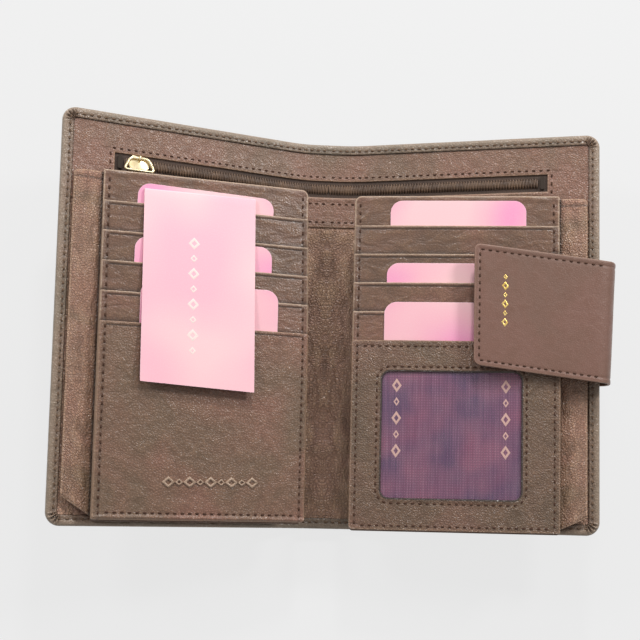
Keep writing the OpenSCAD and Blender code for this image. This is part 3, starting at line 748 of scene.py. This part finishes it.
def gussetStrip(side):
    foot = panel["stripCut"][side]

    def belly(u, v):
        across = np.clip((u - 0.3) / 12.0, 0, 1)
        turned = (0.3 * hump(v - 147.4, 1.2) + 0.45 * hump(v - 1.7, 1.2)) * (u < 12.4)
        tucks = 0.16 * drift(u, v, 9, 7.7) * np.sin(math.pi * across)
        return panel["crown"] * np.sin(math.pi * across) ** 0.8 + turned + tucks

    def place(u, v, f):  # the foot is cut on a slant
        start = foot + (1.2 - foot) * np.clip((u - 0.3) / 12.6, 0, 1)
        return onPanel(side, u, 149 - (149 - v) * (149 - start) / 149, f)

    # The seam mark paints shadow in the groove along the strip's inner edge and shade under its turned top edge
    piece = cutSheet(side + "Gusset", (0.3, 0, 15.9, 149), place, lambda u, v: 0.4 + belly(u, v),
                     lambda u, v: -0.4 + 0.8 * belly(u, v) * (u < 12.4), stripLeather, (0.4, 0.4, 0.4, 2), 1.6,
                     seam=lambda u, v: 0.9 * hump(u - 12.5, 0.7) + 0.7 * hump(v - 145.8, 0.4))
    rideFor(piece, side + "_card_panel", side + "_gusset")


def backLayers(side):
    place = partial(onPanel, side)
    corners = (0.6, 1.5, 3, 0.6)
    rear = cutSheet(side + "RearLeather", (panel["strip"], -0.8, panelEnd, 149.2), place, 0.99,
                    lambda u, v: 0.4 + 0.05 * drift(u, v, 20, 1), splitLeather, corners)
    rideFor(rear, side + "_card_panel", side + "_rear_leather")
    fabric = cutSheet(side + "PocketLining", (panel["strip"] + 1, 1, panelEnd - 1, 147), place, 1.19, 1.01,
                      satinLining, (0, 0, 2, 0), roll=0.08)
    rideFor(fabric, side + "_card_panel", side + "_pocket_lining")

    def top(u, v):
        down = panel["height"] - v
        turned = 0.2 * hump(down - 1.5, 1.1) - 0.1 * hump(down - 3.2, 0.4)
        return panel["topLift"] - 0.13 + turned * (np.abs(u - 58) < 45.6) * 0.8

    front = cutSheet(side + "TopLeather", (panel["strip"], 0, panelEnd, panel["height"]), place, top, 1.22,
                     slotLeather, corners, extraV=(145.8, 146.4, 146.8, 147.2))
    rideFor(front, side + "_card_panel", side + "_top_leather")


def slotSheet(side, k, name, node, material=slotLeather):
    z, edge = slotLift(side, k), slotEdge(k)
    gap, lastSheet = slotGap(side, k), panel["lastSlot"][side]

    def marks(u, v):
        fromEdge, fromSide = edge - v, np.minimum(u - panel["strip"], panelEnd - u)
        within = ease(fromSide, stitching["inset"] - 0.3, stitching["inset"] + 1.2)
        crease = hump(fromEdge - 1.65, 0.3) * within
        return fromEdge, fromSide, within, crease, sewnDown(fromSide - stitching["inset"])

    def top(u, v):
        fromEdge, fromSide, within, crease, pulled = marks(u, v)
        lip = 0.24 * (1 - ease(fromEdge, 1.0, 1.7)) * within
        shown = 1 if k == lastSheet else ease(v, edge - panel["pitch"] + 0.5, edge - panel["pitch"] + 1.4)
        bead = 0.36 * ease(fromSide, 0.1, 0.9) * (1 - ease(fromSide, 1.2, 2.2)) * shown
        if k == lastSheet:
            bead = np.maximum(bead, 0.6 * ease(v, 0.1, 1.0) * (1 - ease(v, 1.4, 2.5)))
        slack = 0.14 * drift(u, v * 1.6, 16, k + (0 if side == "left" else 20)) * ease(fromSide, 3, 12)
        return z + gap + 0.4 + lip + bead - 0.14 * crease - pulled + slack * ease(fromEdge, 1.5, 6)

    def dark(u, v):
        fromEdge, fromSide, _, crease, pulled = marks(u, v)
        under = hump(v - edge + panel["pitch"] - 0.35, 0.45) if k < lastSheet else 0
        return 0.8 * crease + 1.6 * pulled + 0.75 * under  # painted shade in the crease below the lip and under the next lip; along the stitch rows, dark dye and painted shade

    def bottom(u, v):
        fromSide = np.minimum(u - panel["strip"], panelEnd - u)
        floor = (edge - 53.5 < v) & (v < edge - 51.5)
        return np.where((fromSide < 2.3) & (v < edge - 0.6) | floor, z + 0.02, z + gap)

    piece = cutSheet(name, (panel["strip"], 0, panelEnd, edge), partial(onPanel, side), top, bottom,
                     material, (0.6, 1.5, 0.8, 0.6), 2.0, seam=dark)
    rideFor(piece, side + "_card_panel", node)


for side in ("left", "right"):
    gussetStrip(side)
    backLayers(side)
    for k in (1, 2, 3, 4):
        slotSheet(side, k, f"{side}Slot{k}", f"{side}_slot_{k}")
slotSheet("left", 5, "leftFrontPanel", "left_front_panel", cowLeather)
print("card panels sewn up")

# ID window: satin lining, clear vinyl and the leather frame round it

idPanel = {
    "height": 83.4, "outerSide": 16.9, "spineSide": 13.8, "margin": 14, "radius": 3.5,
    "lining": (6.49, 6.31), "film": (6.98, 6.8), "frame": (7.5, 7.0),  # upper and lower face of each layer
    "sewn": 6.52, "foot": 5.82,  # how far down the frame reaches at its stitches and at its rim
}
idHole = (panel["strip"] + idPanel["outerSide"], idPanel["margin"], panelEnd - idPanel["spineSide"],
          idPanel["height"] - idPanel["margin"])


def idWindow():
    place, hole = partial(onPanel, "right"), idHole
    left, right = panel["strip"], panelEnd
    lining = cutSheet("idLining", (left + 1, 2, right - 1, idPanel["height"] - 2), place, *idPanel["lining"],
                      satinLining, roll=0.08)
    rideFor(lining, "right_card_panel", "id_lining")
    film = cutSheet("idWindow", (hole[0] - 4, hole[1] - 4, hole[2] + 4, hole[3] + 4), place,
                    lambda u, v: idPanel["film"][0] + 0.02 * drift(u, v, 15, 3), idPanel["film"][1], clearVinyl,
                    (1, 1, 1, 1), roll=0.1)
    rideFor(film, "right_card_panel", "id_window")

    outer, edges = (left, 0, right, idPanel["height"]), (0.6, 1.5, 0.8, 0.6)
    outerSteps = [0, 0.04, 0.11, 0.2, 0.32, 0.5, 0.95, 1.05, 1.5, 1.8, 2.1, 2.35, 2.45, 3.0, 3.8, 5.0]
    innerSteps = [0, 0.04, 0.11, 0.2, 0.32, 0.6, 1.0, 1.4, 1.7, 2.0, 2.4, 3.2]
    rings = [(roundRing(outer, edges, d), d) for d in outerSteps]
    inner = [(roundRing(hole, (idPanel["radius"],) * 4, -d), d) for d in innerSteps]
    a, b = rings[-1][0], inner[-1][0]
    rings += [(a + (b - a) * q / 7, 9.0) for q in range(1, 7)] + inner[::-1]
    uv = np.stack([r[0] for r in rings])
    gone = np.array([r[1] for r in rings])[:, None] + 0 * uv[..., 0]
    isInner = (np.arange(len(rings)) >= len(outerSteps) + 6)[:, None]
    u, v = uv[..., 0], uv[..., 1]
    fromSide = np.minimum(u - left, right - u)
    seam = -sewnDown(fromSide - stitching["inset"]) - 0.12 * hump(idPanel["height"] - v - 2.6, 0.4)
    rolled = np.where(isInner, 0.12 * hump(gone - 0.8, 0.6) - 0.14 * hump(gone - 2.2, 0.45), 0)
    high = idPanel["frame"][0] + seam + rolled + 0.12 * drift(u, v, 20, 12)
    reach, below = np.where(isInner, 99, fromSide), v < idPanel["height"] - 0.9
    low = np.where((reach < 2.4) & below, idPanel["sewn"], idPanel["frame"][1])
    low = np.where((reach < 1) & below, idPanel["foot"], low)
    middle, half = (high + low) / 2, (high - low) / 2 * rollOff(gone, 0.3)
    points = [place(u, v, middle + sign * half).reshape(-1, 3) for sign in (1, -1)]
    rows, columns = u.shape
    faces = []
    for layer in (0, 1):
        for i in range(rows - 1):
            start = layer * rows * columns + i * columns
            faces += [face if layer else face[::-1] for face in ringFaces(start, start + columns, columns)]
    flat = np.stack([u, v], -1).reshape(-1, 2)
    # painted shade on the window's inner rim and in the sunk stitch and roll grooves
    rimAndGrooveShade = np.where(isInner & (gone < 0.75), 0.95, 0) - 2.2 * np.minimum(seam + np.where(isInner, rolled, 0) + 0.1, 0)
    piece = buildMesh("idFrame", np.concatenate(points), faces, frameLeather, np.concatenate([flat, flat]),
                      np.tile(gone.ravel(), 2), seam=np.tile(np.clip(rimAndGrooveShade, 0, 1).ravel(), 2))
    rideFor(piece, "right_card_panel", "id_frame")


idWindow()

# Cards

cards = {"width": 60.6, "height": 54, "radius": 5.5, "thickness": 0.25, "from": 27.65}
cardInsets = [0, 0.03, 0.08, 0.15, 0.5, 1.2, 2.2, 3.4, 4.8, 6.0]


def insertCard(name, node, body, side, top, z, shift=0.0, turned=0.0):  # turned: degrees askew in its slot
    left, askew = cards["from"] + shift, math.radians(turned)

    def place(u, v, f):
        across, down = u - left, v - top
        return onPanel(side, left + across + down * math.sin(askew), v - across * math.sin(askew), f)

    piece = cutSheet(name, (left, top - cards["height"], left + cards["width"], top), place, z + cards["thickness"], z,
                     pinkCard, (cards["radius"],) * 4, 3, roll=0.1, insets=cardInsets)
    rideFor(piece, body, node)


insertCard("leftCard1", "left_card_1", "left_insert_1", "left", slotEdge(1) + 9.3, 1.9, 0.1, 1.6)
insertCard("leftCard3", "left_card_3", "left_insert_3", "left", slotEdge(3) + 11.5, 4.325, -0.85)
insertCard("leftCard5", "left_card_5", "left_insert_5", "left", slotEdge(5) + 18.3, 6.325, 2.05)
insertCard("rightCard1", "right_card_1", "right_insert_1", "right", slotEdge(1) + 11.5, 1.975)
insertCard("rightCard3", "right_card_3", "right_insert_3", "right", slotEdge(3) + 8.9, 3.975, 1.2)
insertCard("rightCardId", "right_card_id", "id_insert", "right", slotEdge(5) + 17.3, 5.975, 2.0)

leaf = {
    "left": 30.2, "width": 49.2, "thickness": 0.22, "foldAt": 142.1, "foldLift": 3.45, "lean": 5, "length": 85,
    "tuck": 35.9, "askew": 2.6,  # the cut end runs a little askew
}


def hangingLeaf():  # one folded card: a tongue in the first slot, a fold, and a leaf in front
    lean = math.radians(leaf["lean"])
    low, high = 2.4, leaf["foldLift"] + 0.15
    path = [(leaf["foldAt"] - leaf["tuck"] * q / 12, low) for q in range(12, 0, -1)]
    reach = (high - low) / 2
    path += [(leaf["foldAt"] + reach * math.sin(a), (low + high) / 2 - reach * math.cos(a))
             for a in np.linspace(0, math.pi - lean, 13)]
    start = path[-1]
    path += [(start[0] - leaf["length"] * q / 28 * math.cos(lean), start[1] + leaf["length"] * q / 28 * math.sin(lean))
             for q in range(1, 29)]
    path = np.array(path)
    run = runOf(path)
    heading = headingOf(path, run)

    def place(u, v, f):
        y, z = np.interp(v, run, path[:, 0]), np.interp(v, run, path[:, 1])
        dy, dz = np.interp(v, run, heading[:, 0]), np.interp(v, run, heading[:, 1])
        late = ease(v, leaf["tuck"] + 4, run[-1])
        share = (u - leaf["left"]) / leaf["width"]
        curl = 0.7 * late * (share - 0.35) ** 2
        y, z = y + dz * f - (leaf["askew"] * share - 0.65) * late, z - dy * f + curl
        return onPanel("left", u, y, z)

    half = leaf["thickness"] / 2
    piece = cutSheet("hangingLeaf", (leaf["left"], 0, leaf["left"] + leaf["width"], float(run[-1])), place, half, -half,
                     paleCard, (0.3,) * 4, 3, roll=0.1, insets=cardInsets[:-1], extraV=tuple(run[10:28]))
    ends = [onPanel("left", 55, leaf["foldAt"], f) for f in (2.6, 3.45)]
    tuple(ends[0])
    tuple(ends[1])
    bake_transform(piece)
    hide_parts("leaf", "leaf_tongue")
    return run[-1], place


leafEnd, onLeaf = hangingLeaf()
print("cards in their slots")

# Closing tab: one strap from the back of the right page, round its edge and over the panel

tab = {
    "width": 53.5, "length": 58, "root": 34, "skew": 2.5, "lean": 4.5, "rise": 11.326, "bendS": 114.467,
    "bendY": 93, "bendZ": 6.3, "reach": 4.133, "layer": 1.1,
}


def tabPath():
    rise = math.radians(tab["rise"])
    middle, reach = 6.9, tab["reach"] - tab["layer"] / 2
    points = [(tab["root"] * (1 - q / 16), -middle) for q in range(16)]
    points += [(-reach * math.sin(a), -middle * math.cos(a)) for a in np.radians(np.linspace(0, 155, 30))]
    for x in np.linspace(1.2, tab["length"], 40):
        points.append((x * math.cos(rise) - 6.95 * math.sin(rise), x * math.sin(rise) + 6.95 * math.cos(rise)))
    points = np.array(points)
    for _ in range(4):
        points[1:-1] = (points[:-2] + 2 * points[1:-1] + points[2:]) / 4
    run = runOf(points)
    return points, run, headingOf(points, run)


tabPoints, tabRun, tabHeading = tabPath()
tabStop = float(tabRun[-1])
tabTurn = tabStop - (tab["length"] - 1.2)  # where the flat part of the tab begins, along the strap


def onStrap(u, v, f):
    lean, skew = math.radians(tab["lean"]), math.radians(tab["skew"])
    x, z = np.interp(u, tabRun, tabPoints[:, 0]), np.interp(u, tabRun, tabPoints[:, 1])
    dx, dz = np.interp(u, tabRun, tabHeading[:, 0]), np.interp(u, tabRun, tabHeading[:, 1])
    x, z = x - dz * f, z + dx * f
    out = np.clip((u - tabTurn) / (tabStop - tabTurn), 0, 1)
    back = np.clip(1 - u / tab["root"], 0, 1)
    centre = math.tan(lean) * (out * tab["length"] - back * tab["root"])
    lateral = centre + v
    x = x + v * math.tan(skew) * (out + back)
    s = tab["bendS"] - x * math.cos(skew) + lateral * math.sin(skew)
    y = tab["bendY"] + x * math.sin(skew) + lateral * math.cos(skew)
    return onPage("right", s + spineHalf, y, tab["bendZ"] + z, curved=False)


# Two points at the strap's turn beyond the page's edge, below and above the page; nothing here uses them
tabBend = [tuple(onPage("right", tab["bendS"] + spineHalf, tab["bendY"], z, curved=False)) for z in (1.6, 11.0)]


def closingTab():
    half = tab["width"] / 2 / math.cos(math.radians(tab["lean"]))
    layer = tab["layer"] / 2

    def top(u, v):
        edge = np.minimum(half - np.abs(v), tabStop - u)
        return layer + 0.1 * hump(edge - 1.0, 0.8) - 0.14 * hump(edge - 2.4, 0.4) \
            + 0.08 * drift(u, v, 22, 31) * ease(edge, 1, 6)

    outer = cutSheet("tabStrap", (0, -half, tabStop, half), onStrap, top, -layer + 0.01, tabLeather, (3,) * 4, 2.0)
    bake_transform(outer)
    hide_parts("tab_root", "tab_bend", "tab_outer")
    inner = cutSheet("tabLining", (tabTurn + 1.8, -half + 0.15, tabStop - 0.15, half - 0.15), onStrap, -layer - 0.01,
                     -layer - 1.1, splitLeather, (2.5,) * 4, 3.0)
    rideFor(inner, "closing_tab", "tab_inner")
    return half


tabHalf = closingTab()
print("closing tab folded over")

# Metal: slider, pull ring and magnetic snap

slider = {"s": 79.5, "y": 158.5, "base": 4.05, "thickness": 0.7, "length": 9.5, "width": 7.2, "ringY": 160.6,
          "ringLift": 5.65, "wire": 0.65}


def lathe(name, profile, centre, axis, across, sides=48):
    axis, across = np.array(axis) / np.linalg.norm(axis), np.array(across) / np.linalg.norm(across)
    other = np.cross(axis, across)
    ring = np.linspace(0, 2 * math.pi, sides, endpoint=False)
    rows = [np.array(centre) + h * mm * axis + r * mm * (np.cos(ring)[:, None] * across + np.sin(ring)[:, None] * other)
            for r, h in profile]
    faces = [face for i in range(len(profile) - 1) for face in ringFaces(i * sides, (i + 1) * sides, sides)]
    return buildMesh(name, np.concatenate(rows), faces, paleGold)


def sliderAndRing():
    s, y = slider["s"] + spineHalf, slider["y"]
    place = partial(onPage, "left", curved=False)
    far, wide = slider["length"] / 2, slider["width"] / 2

    def domed(u, v):
        across = 1 - ((v - y) / wide) ** 2
        waist = hump(u - s, 2.2)
        return slider["base"] + slider["thickness"] + 0.22 * across * waist

    def tapered(u, v, lift):  # wide at the mouth, narrow where the closed teeth leave
        narrow = 1 - 0.2 * ease(u - s, far, -far)
        return place(u, y + (v - y) * narrow, lift)

    plate = cutSheet("zipSlider", (s - far, y - wide, s + far, y + wide), tapered, domed, slider["base"], paleGold,
                     (2.4, 3.2, 3.2, 2.4), 0.6, roll=0.35, insets=[0, 0.04, 0.11, 0.2, 0.35, 0.6, 1.0, 1.6, 2.4, 3.3])
    for edge in (-1, 1):
        rail = np.array([place(s + q, y + edge * (wide - 0.45), 3.45) for q in np.linspace(-2.6, 2.6, 7)])
        joinInto(plate, roundBars("zipSliderRail", [rail], 0.5 * mm, paleGold, 8))
    hoop = [place(s, slider["ringY"] - 1.5 + 3.0 * q, 4.6 + 2.2 * math.sin(math.pi * q) ** 0.55)
            for q in np.linspace(0, 1, 13)]
    joinInto(plate, roundBars("zipSliderHoop", [np.array(hoop)], 0.42 * mm, paleGold, 10))
    rideFor(plate, "slider", "zip_slider")

    wire = slider["wire"]
    corners = [(-4, 0), (4, 0), (7.5 - wire, -6.2 + wire), (-7.5 + wire, -6.2 + wire)]
    outline = []
    for c in range(4):
        before, here, after = (Vector(corners[(c + o) % 4]) for o in (-1, 0, 1))
        a, b = here + (before - here).normalized() * 1.9, here + (after - here).normalized() * 1.9
        outline += [a * (1 - q) ** 2 + here * 2 * q * (1 - q) + b * q * q for q in np.linspace(0, 1, 8)]
    belly = [0.25 * ease(-p[1], 0, 6) for p in outline]
    ring = np.array([place(s + p[0], slider["ringY"] + p[1], slider["ringLift"] + h) for p, h in zip(outline, belly)])
    pull = roundBars("zipPull", [ring], wire * mm, paleGold, 12, closed=True)
    rideFor(pull, "pull_ring", "zip_pull")


def joinInto(target, extra):
    work = bmesh.new()
    work.from_mesh(target.data)
    work.from_mesh(extra.data)
    work.to_mesh(target.data)
    work.free()
    bpy.data.objects.remove(extra)


# Half outlines of the snap as (radius, height) from its centre outwards and back
studProfile = [(0, 0), (6.6, 0), (7, 0.15), (7, 0.45), (6.7, 0.68), (5.6, 0.72), (5.2, 0.62), (3.1, 0.6), (2.7, 0.75),
               (2.5, 1.1), (2.5, 1.9), (2.25, 2.15), (0, 2.2)]
socketProfile = [(0, 0.02), (6.8, 0.02), (7, 0.2), (7, 1.7), (6.85, 2.2), (6.4, 2.48), (5.9, 2.5), (5.5, 2.35),
                 (4.2, 2.3), (3.6, 2.42), (3.1, 2.5), (2.75, 2.35), (2.7, 2.0), (2.7, 1.05), (2.5, 1.0), (0, 1.0)]
snap = {"fromEnd": 13, "under": -1.65, "socketAt": (96, 97)}


def snaps():
    u, under = tabStop - snap["fromEnd"], snap["under"]
    face, up = onStrap(u, 0.0, under), onStrap(u, 0.0, -1.0)
    stud = lathe("snapStud", studProfile, face, face - up, onStrap(u + 2, 0.0, under) - face)
    rideFor(stud, "closing_tab", "snap_stud")
    (s, y), back = snap["socketAt"], partial(onPage, "left", curved=False)
    centre = back(s + spineHalf, y, 0.0)
    out, side = back(s + spineHalf, y, -1.0) - centre, back(s + 2 + spineHalf, y, 0.0) - centre
    socket = lathe("snapSocket", socketProfile, centre, out, side)
    rideFor(socket, "left_page", "snap_socket")


sliderAndRing()
snaps()
print("metal fitted")

# Stitching: every stitch is its own short thread, pulled down into the leather at both ends


def stitchRow(place, points, lift, facing=1):  # facing -1 sews the underside
    points = np.array(points, float)
    run = runOf(points)
    count = max(1, int(run[-1] / stitching["pitch"]))
    step = run[-1] / count
    share = stitching["length"] / stitching["pitch"]
    proud = stitching["proud"]
    rows = []
    for k in range(count):
        along = step * (k + 0.5) + step * share * np.array([-0.5, -0.4, -0.18, 0.18, 0.4, 0.5])
        u, v = np.interp(along, run, points[:, 0]), np.interp(along, run, points[:, 1])
        rise = lift(u, v) if callable(lift) else lift
        dip = np.array([-stitching["sunk"], proud * 0.4, proud, proud, proud * 0.4, -stitching["sunk"]])
        rows.append(place(u, v, rise + facing * dip))
    return rows


def stitchRows(place, runs):  # runs: the points and the lift of each row
    return [stitch for points, lift in runs for stitch in stitchRow(place, points, lift)]


def sew(name, rows, thread, radius=stitching["radius"]):
    piece = roundBars(name, rows, radius * mm, thread, 6)
    return piece


def arc(cu, cv, radius, start, stop, steps=6):
    return [(cu + radius * math.cos(math.radians(start + (stop - start) * q / steps)),
             cv + radius * math.sin(math.radians(start + (stop - start) * q / steps))) for q in range(steps + 1)]


for side in ("left", "right"):
    page = partial(onPage, side)
    outerU, topV = wallet["pageWidth"] + spineHalf, wallet["height"]
    inset, r = 3.05, cover["radius"]
    band = [(0.6, inset), (outerU - r, inset)] + arc(outerU - r, r, r - inset, -90, 0) \
        + arc(outerU - r, topV - r, r - inset, 0, 90) + [(0.6, topV - inset)]
    rows = stitchRow(page, band, lambda u, v: 4.04 - 0.5 * ease(v, hemLine + 3, hemLine - 1))
    bendWith(sew(side + "BandStitches", rows, hideThread), side)
    rows = stitchRow(page, band, 0.16, facing=-1)
    bendWith(sew(side + "BackStitches", rows, hideThread, 0.24), side)
    endU, low, high = zipPanel["end"] + spineHalf, zipPanel["low"], zipPanel["high"]
    above, below, hem = high + 2.0, low - 3.0, hemLine + 2.6
    runs = (((0.6, above), (endU + 2.0, above)), ((endU + 1.9, low - 2), (endU + 1.9, high + 1.2)),
            ((0.6, below), (endU + 2.0, below)), ((0.6, hem), (spineHalf + 30, hem)))
    rows = stitchRows(page, [(points, 3.42) for points in runs])
    bendWith(sew(side + "ZipStitches", rows, brownThread), side)

for side in ("left", "right"):
    panelPlace, clear = partial(onPanel, side), 0.6  # stitches stop this far from a slot's edge
    inEdge, outEdge = panel["strip"] + stitching["inset"], panelEnd - stitching["inset"]
    foot, face = {"left": (3.1, 7.05), "right": (1.9, 7.4)}[side]
    runs = []
    for u in (inEdge, outEdge):
        runs.append(([(u, slotEdge(1) + clear), (u, 147.5)], 1.75))
        for k in range(1, panel["lastSlot"][side] + 1):
            lower = 1.0 if k == 5 else slotEdge(k + 1) + clear
            runs.append(([(u, lower), (u, slotEdge(k) - clear)], slotLift(side, k) + slotGap(side, k) + 0.2))
        if side == "right":
            runs.append(([(u, 1.4), (u, idPanel["height"] - 0.8)], 7.3))
    runs.append(([(inEdge + 2, foot), (outEdge - 2, foot)], face))
    if side == "right":
        head = idPanel["height"] - 2.6
        loop = roundRing(idHole, (idPanel["radius"],) * 4, -2.3)
        runs += [([(inEdge + 2, head), (outEdge - 2, head)], face), (list(loop) + [loop[0]], 7.36)]
    runs.append(([(1.4, panel["stripCut"][side] + 2.2), (11.4, 4.2)], 0.95))
    thread = sew(side + "PanelStitches", stitchRows(panelPlace, runs), brownThread)
    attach(thread, side + "_card_panel")

edge, flatStart, flatEnd, rootEnd = tabHalf - 2.4, tabTurn + 1, tabStop - 3, tab["root"] - 2
loop = [(flatStart, -edge), (flatEnd, -edge)] + arc(flatEnd, -edge + 0.6, 0.6, -90, 0, 3) \
    + arc(flatEnd, edge - 0.6, 0.6, 0, 90, 3) + [(flatEnd, edge), (flatStart, edge)]
runs = (((2.4, -edge), (rootEnd, -edge)), ((2.4, edge), (rootEnd, edge)), ((2.4, -edge + 2), (2.4, edge - 2)))
rows = stitchRows(onStrap, [(loop, 0.42)] + [(points, 0.45) for points in runs])
thread = sew("tabStitches", rows, brownThread)
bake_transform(thread)
print("stitched")

# Plain ornament: small lozenges where the maker of such a wallet would put a mark

ornament = {"tabLozenges": 6, "panelLozenges": 9, "liningLozenges": 5, "leafLozenges": 8}


def lozengeRow(name, place, start, end, count, size, lift, material, thickness=0.06, rubbedTo=3.0):
    points, faces, cut = [], [], []
    start, end = np.array(start, float), np.array(end, float)
    along = (end - start) / np.linalg.norm(end - start)
    across = np.array([-along[1], along[0]])
    for k in range(count):
        middle = start + (end - start) * (k + 0.5) / count
        base = len(points)
        small = 0.62 if k % 2 else 1.0
        for ring, grow, rise in ((0, 1.0, -0.04), (1, 0.92, thickness), (2, 0.52, thickness), (3, 0.44, -0.02)):
            for q in range(16):
                turn = math.pi * q / 8
                c, n = math.cos(turn), math.sin(turn)
                reach = grow * small / (abs(c) / size[0] + abs(n) / size[1])
                spot = middle + reach * (c * along + n * across)
                points.append(place(spot[0], spot[1], lift + rise))
                cut.append(spot)
        for ring in range(3):
            faces += ringFaces(base + ring * 16, base + ring * 16 + 16, 16)
    return buildMesh(name, np.array(points), faces, material, np.array(cut), np.full(len(points), rubbedTo), weld=False)


def stamp(body, name, *look, **more):
    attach(lozengeRow(name, *look, **more), body)


# The panel's lozenges get rim distance 0.25, so they take the pale edge colour all over: wear and painted highlight
stamp("left_card_panel", "panelLozenges", partial(onPanel, "left"), (42, 16.2), (82.8, 16.8), ornament["panelLozenges"],
      (2.9, 2.5), 7.1, slotLeather, thickness=0.5, rubbedTo=0.25)
markAt = tabStop - 13.5
stamp("closing_tab", "tabLozenges", onStrap, (markAt, -8.5), (markAt, 15.5), ornament["tabLozenges"], (2.0, 1.5),
      tab["layer"] / 2, goldFoil)
for number, u in enumerate((84.2, 36.5)):
    stamp("right_card_panel", f"liningLozenges{number + 1}", partial(onPanel, "right"), (u, 31), (u, 67),
          ornament["liningLozenges"], (3.2, 2.2), 6.5, rosyInk, thickness=0.03)
stamp("hanging_leaf", "leafLozenges", onLeaf, (52.2, leafEnd - 66), (52.2, leafEnd - 12), ornament["leafLozenges"],
      (2.8, 2.6), 0.13, paleInk, thickness=0.03)
print("ornament stamped")

# Studio: pale floor, soft lamps and the photograph's camera

studio = {
    "background": "#efefef", "world": 0.29, "right": 2.6, "left": 1.5, "top": 4.3, "shadow": 0.12,
    "aim": (0, 0, 0.01),
}


def areaLamp(name, spot, size, power):
    lamp = bpy.data.lights.new(name, "AREA")
    lamp.shape, lamp.size, lamp.energy = "DISK", size, power
    holder = placeInScene(name, lamp)
    holder.location = spot
    holder.rotation_euler = (Vector(studio["aim"]) - Vector(spot)).to_track_quat("-Z", "Y").to_euler()


areaLamp("rightLamp", (0.46, 0.4, 0.5), 0.16, studio["right"])
areaLamp("leftLamp", (-0.42, 0.36, 0.5), 0.16, studio["left"])
areaLamp("topLamp", (0.06, 0.78, 0.52), 0.12, studio["top"])

world = bpy.data.worlds.new("softRoom")
bpy.context.scene.world = world
world.use_nodes = True
world.node_tree.nodes.clear()


def plainView(tree):  # 1 for rays that should find the plain pale backdrop: seen, mirrored or through the film
    seen = addNode(tree, "ShaderNodeLightPath")
    first = addNode(tree, "ShaderNodeMath", {0: seen.outputs["Is Camera Ray"], 1: seen.outputs["Is Transmission Ray"]},
                    operation="MAXIMUM")
    return addNode(tree, "ShaderNodeMath", {0: first.outputs[0], 1: seen.outputs["Is Glossy Ray"]},
                   operation="MAXIMUM").outputs[0]


direct = plainView(world.node_tree)
room = addNode(world.node_tree, "ShaderNodeBackground", {"Color": (1, 1, 1, 1), "Strength": studio["world"]})
backdrop = addNode(world.node_tree, "ShaderNodeBackground", {"Color": linear(studio["background"]), "Strength": 1.0})
mixed = addNode(world.node_tree, "ShaderNodeMixShader", {0: direct, 1: room.outputs[0], 2: backdrop.outputs[0]})
addNode(world.node_tree, "ShaderNodeOutputWorld", {"Surface": mixed.outputs[0]})


def floorSurface(tree):
    matt = addNode(tree, "ShaderNodeBsdfDiffuse", {"Color": linear("#e4e4e4")})
    glow = addNode(tree, "ShaderNodeEmission", {"Color": linear(studio["background"]), "Strength": 1.0})
    share = addNode(tree, "ShaderNodeMath", {0: plainView(tree), 1: 1 - studio["shadow"]}, operation="MULTIPLY")
    inputs = {0: share.outputs[0], 1: matt.outputs[0], 2: glow.outputs[0]}
    return addNode(tree, "ShaderNodeMixShader", inputs).outputs[0]


bpy.ops.mesh.primitive_circle_add(vertices=96, radius=3.0, fill_type="NGON", location=(0, 0, -0.0002))
floor = bpy.context.object
floor.name = "studioFloor"
floor.data.materials.append(newMaterial("painted_studio_floor", floorSurface))

lens = bpy.data.cameras.new("photoCamera")
lens.sensor_width, lens.lens = 36, 61.875
lens.shift_x, lens.shift_y = -0.015625, 0.125
camera = placeInScene("photoCamera", lens)
turn = Matrix.Rotation(math.radians(5.124), 4, "X") @ Matrix.Rotation(math.radians(-3.21), 4, "Y") \
    @ Matrix.Rotation(math.radians(1.533), 4, "Z")
camera.matrix_world = Matrix.Translation((-0.02561, -0.07611, 0.50914)) @ turn
bpy.context.scene.camera = camera
bpy.context.scene.view_settings.view_transform = "Standard"

print("studio set")
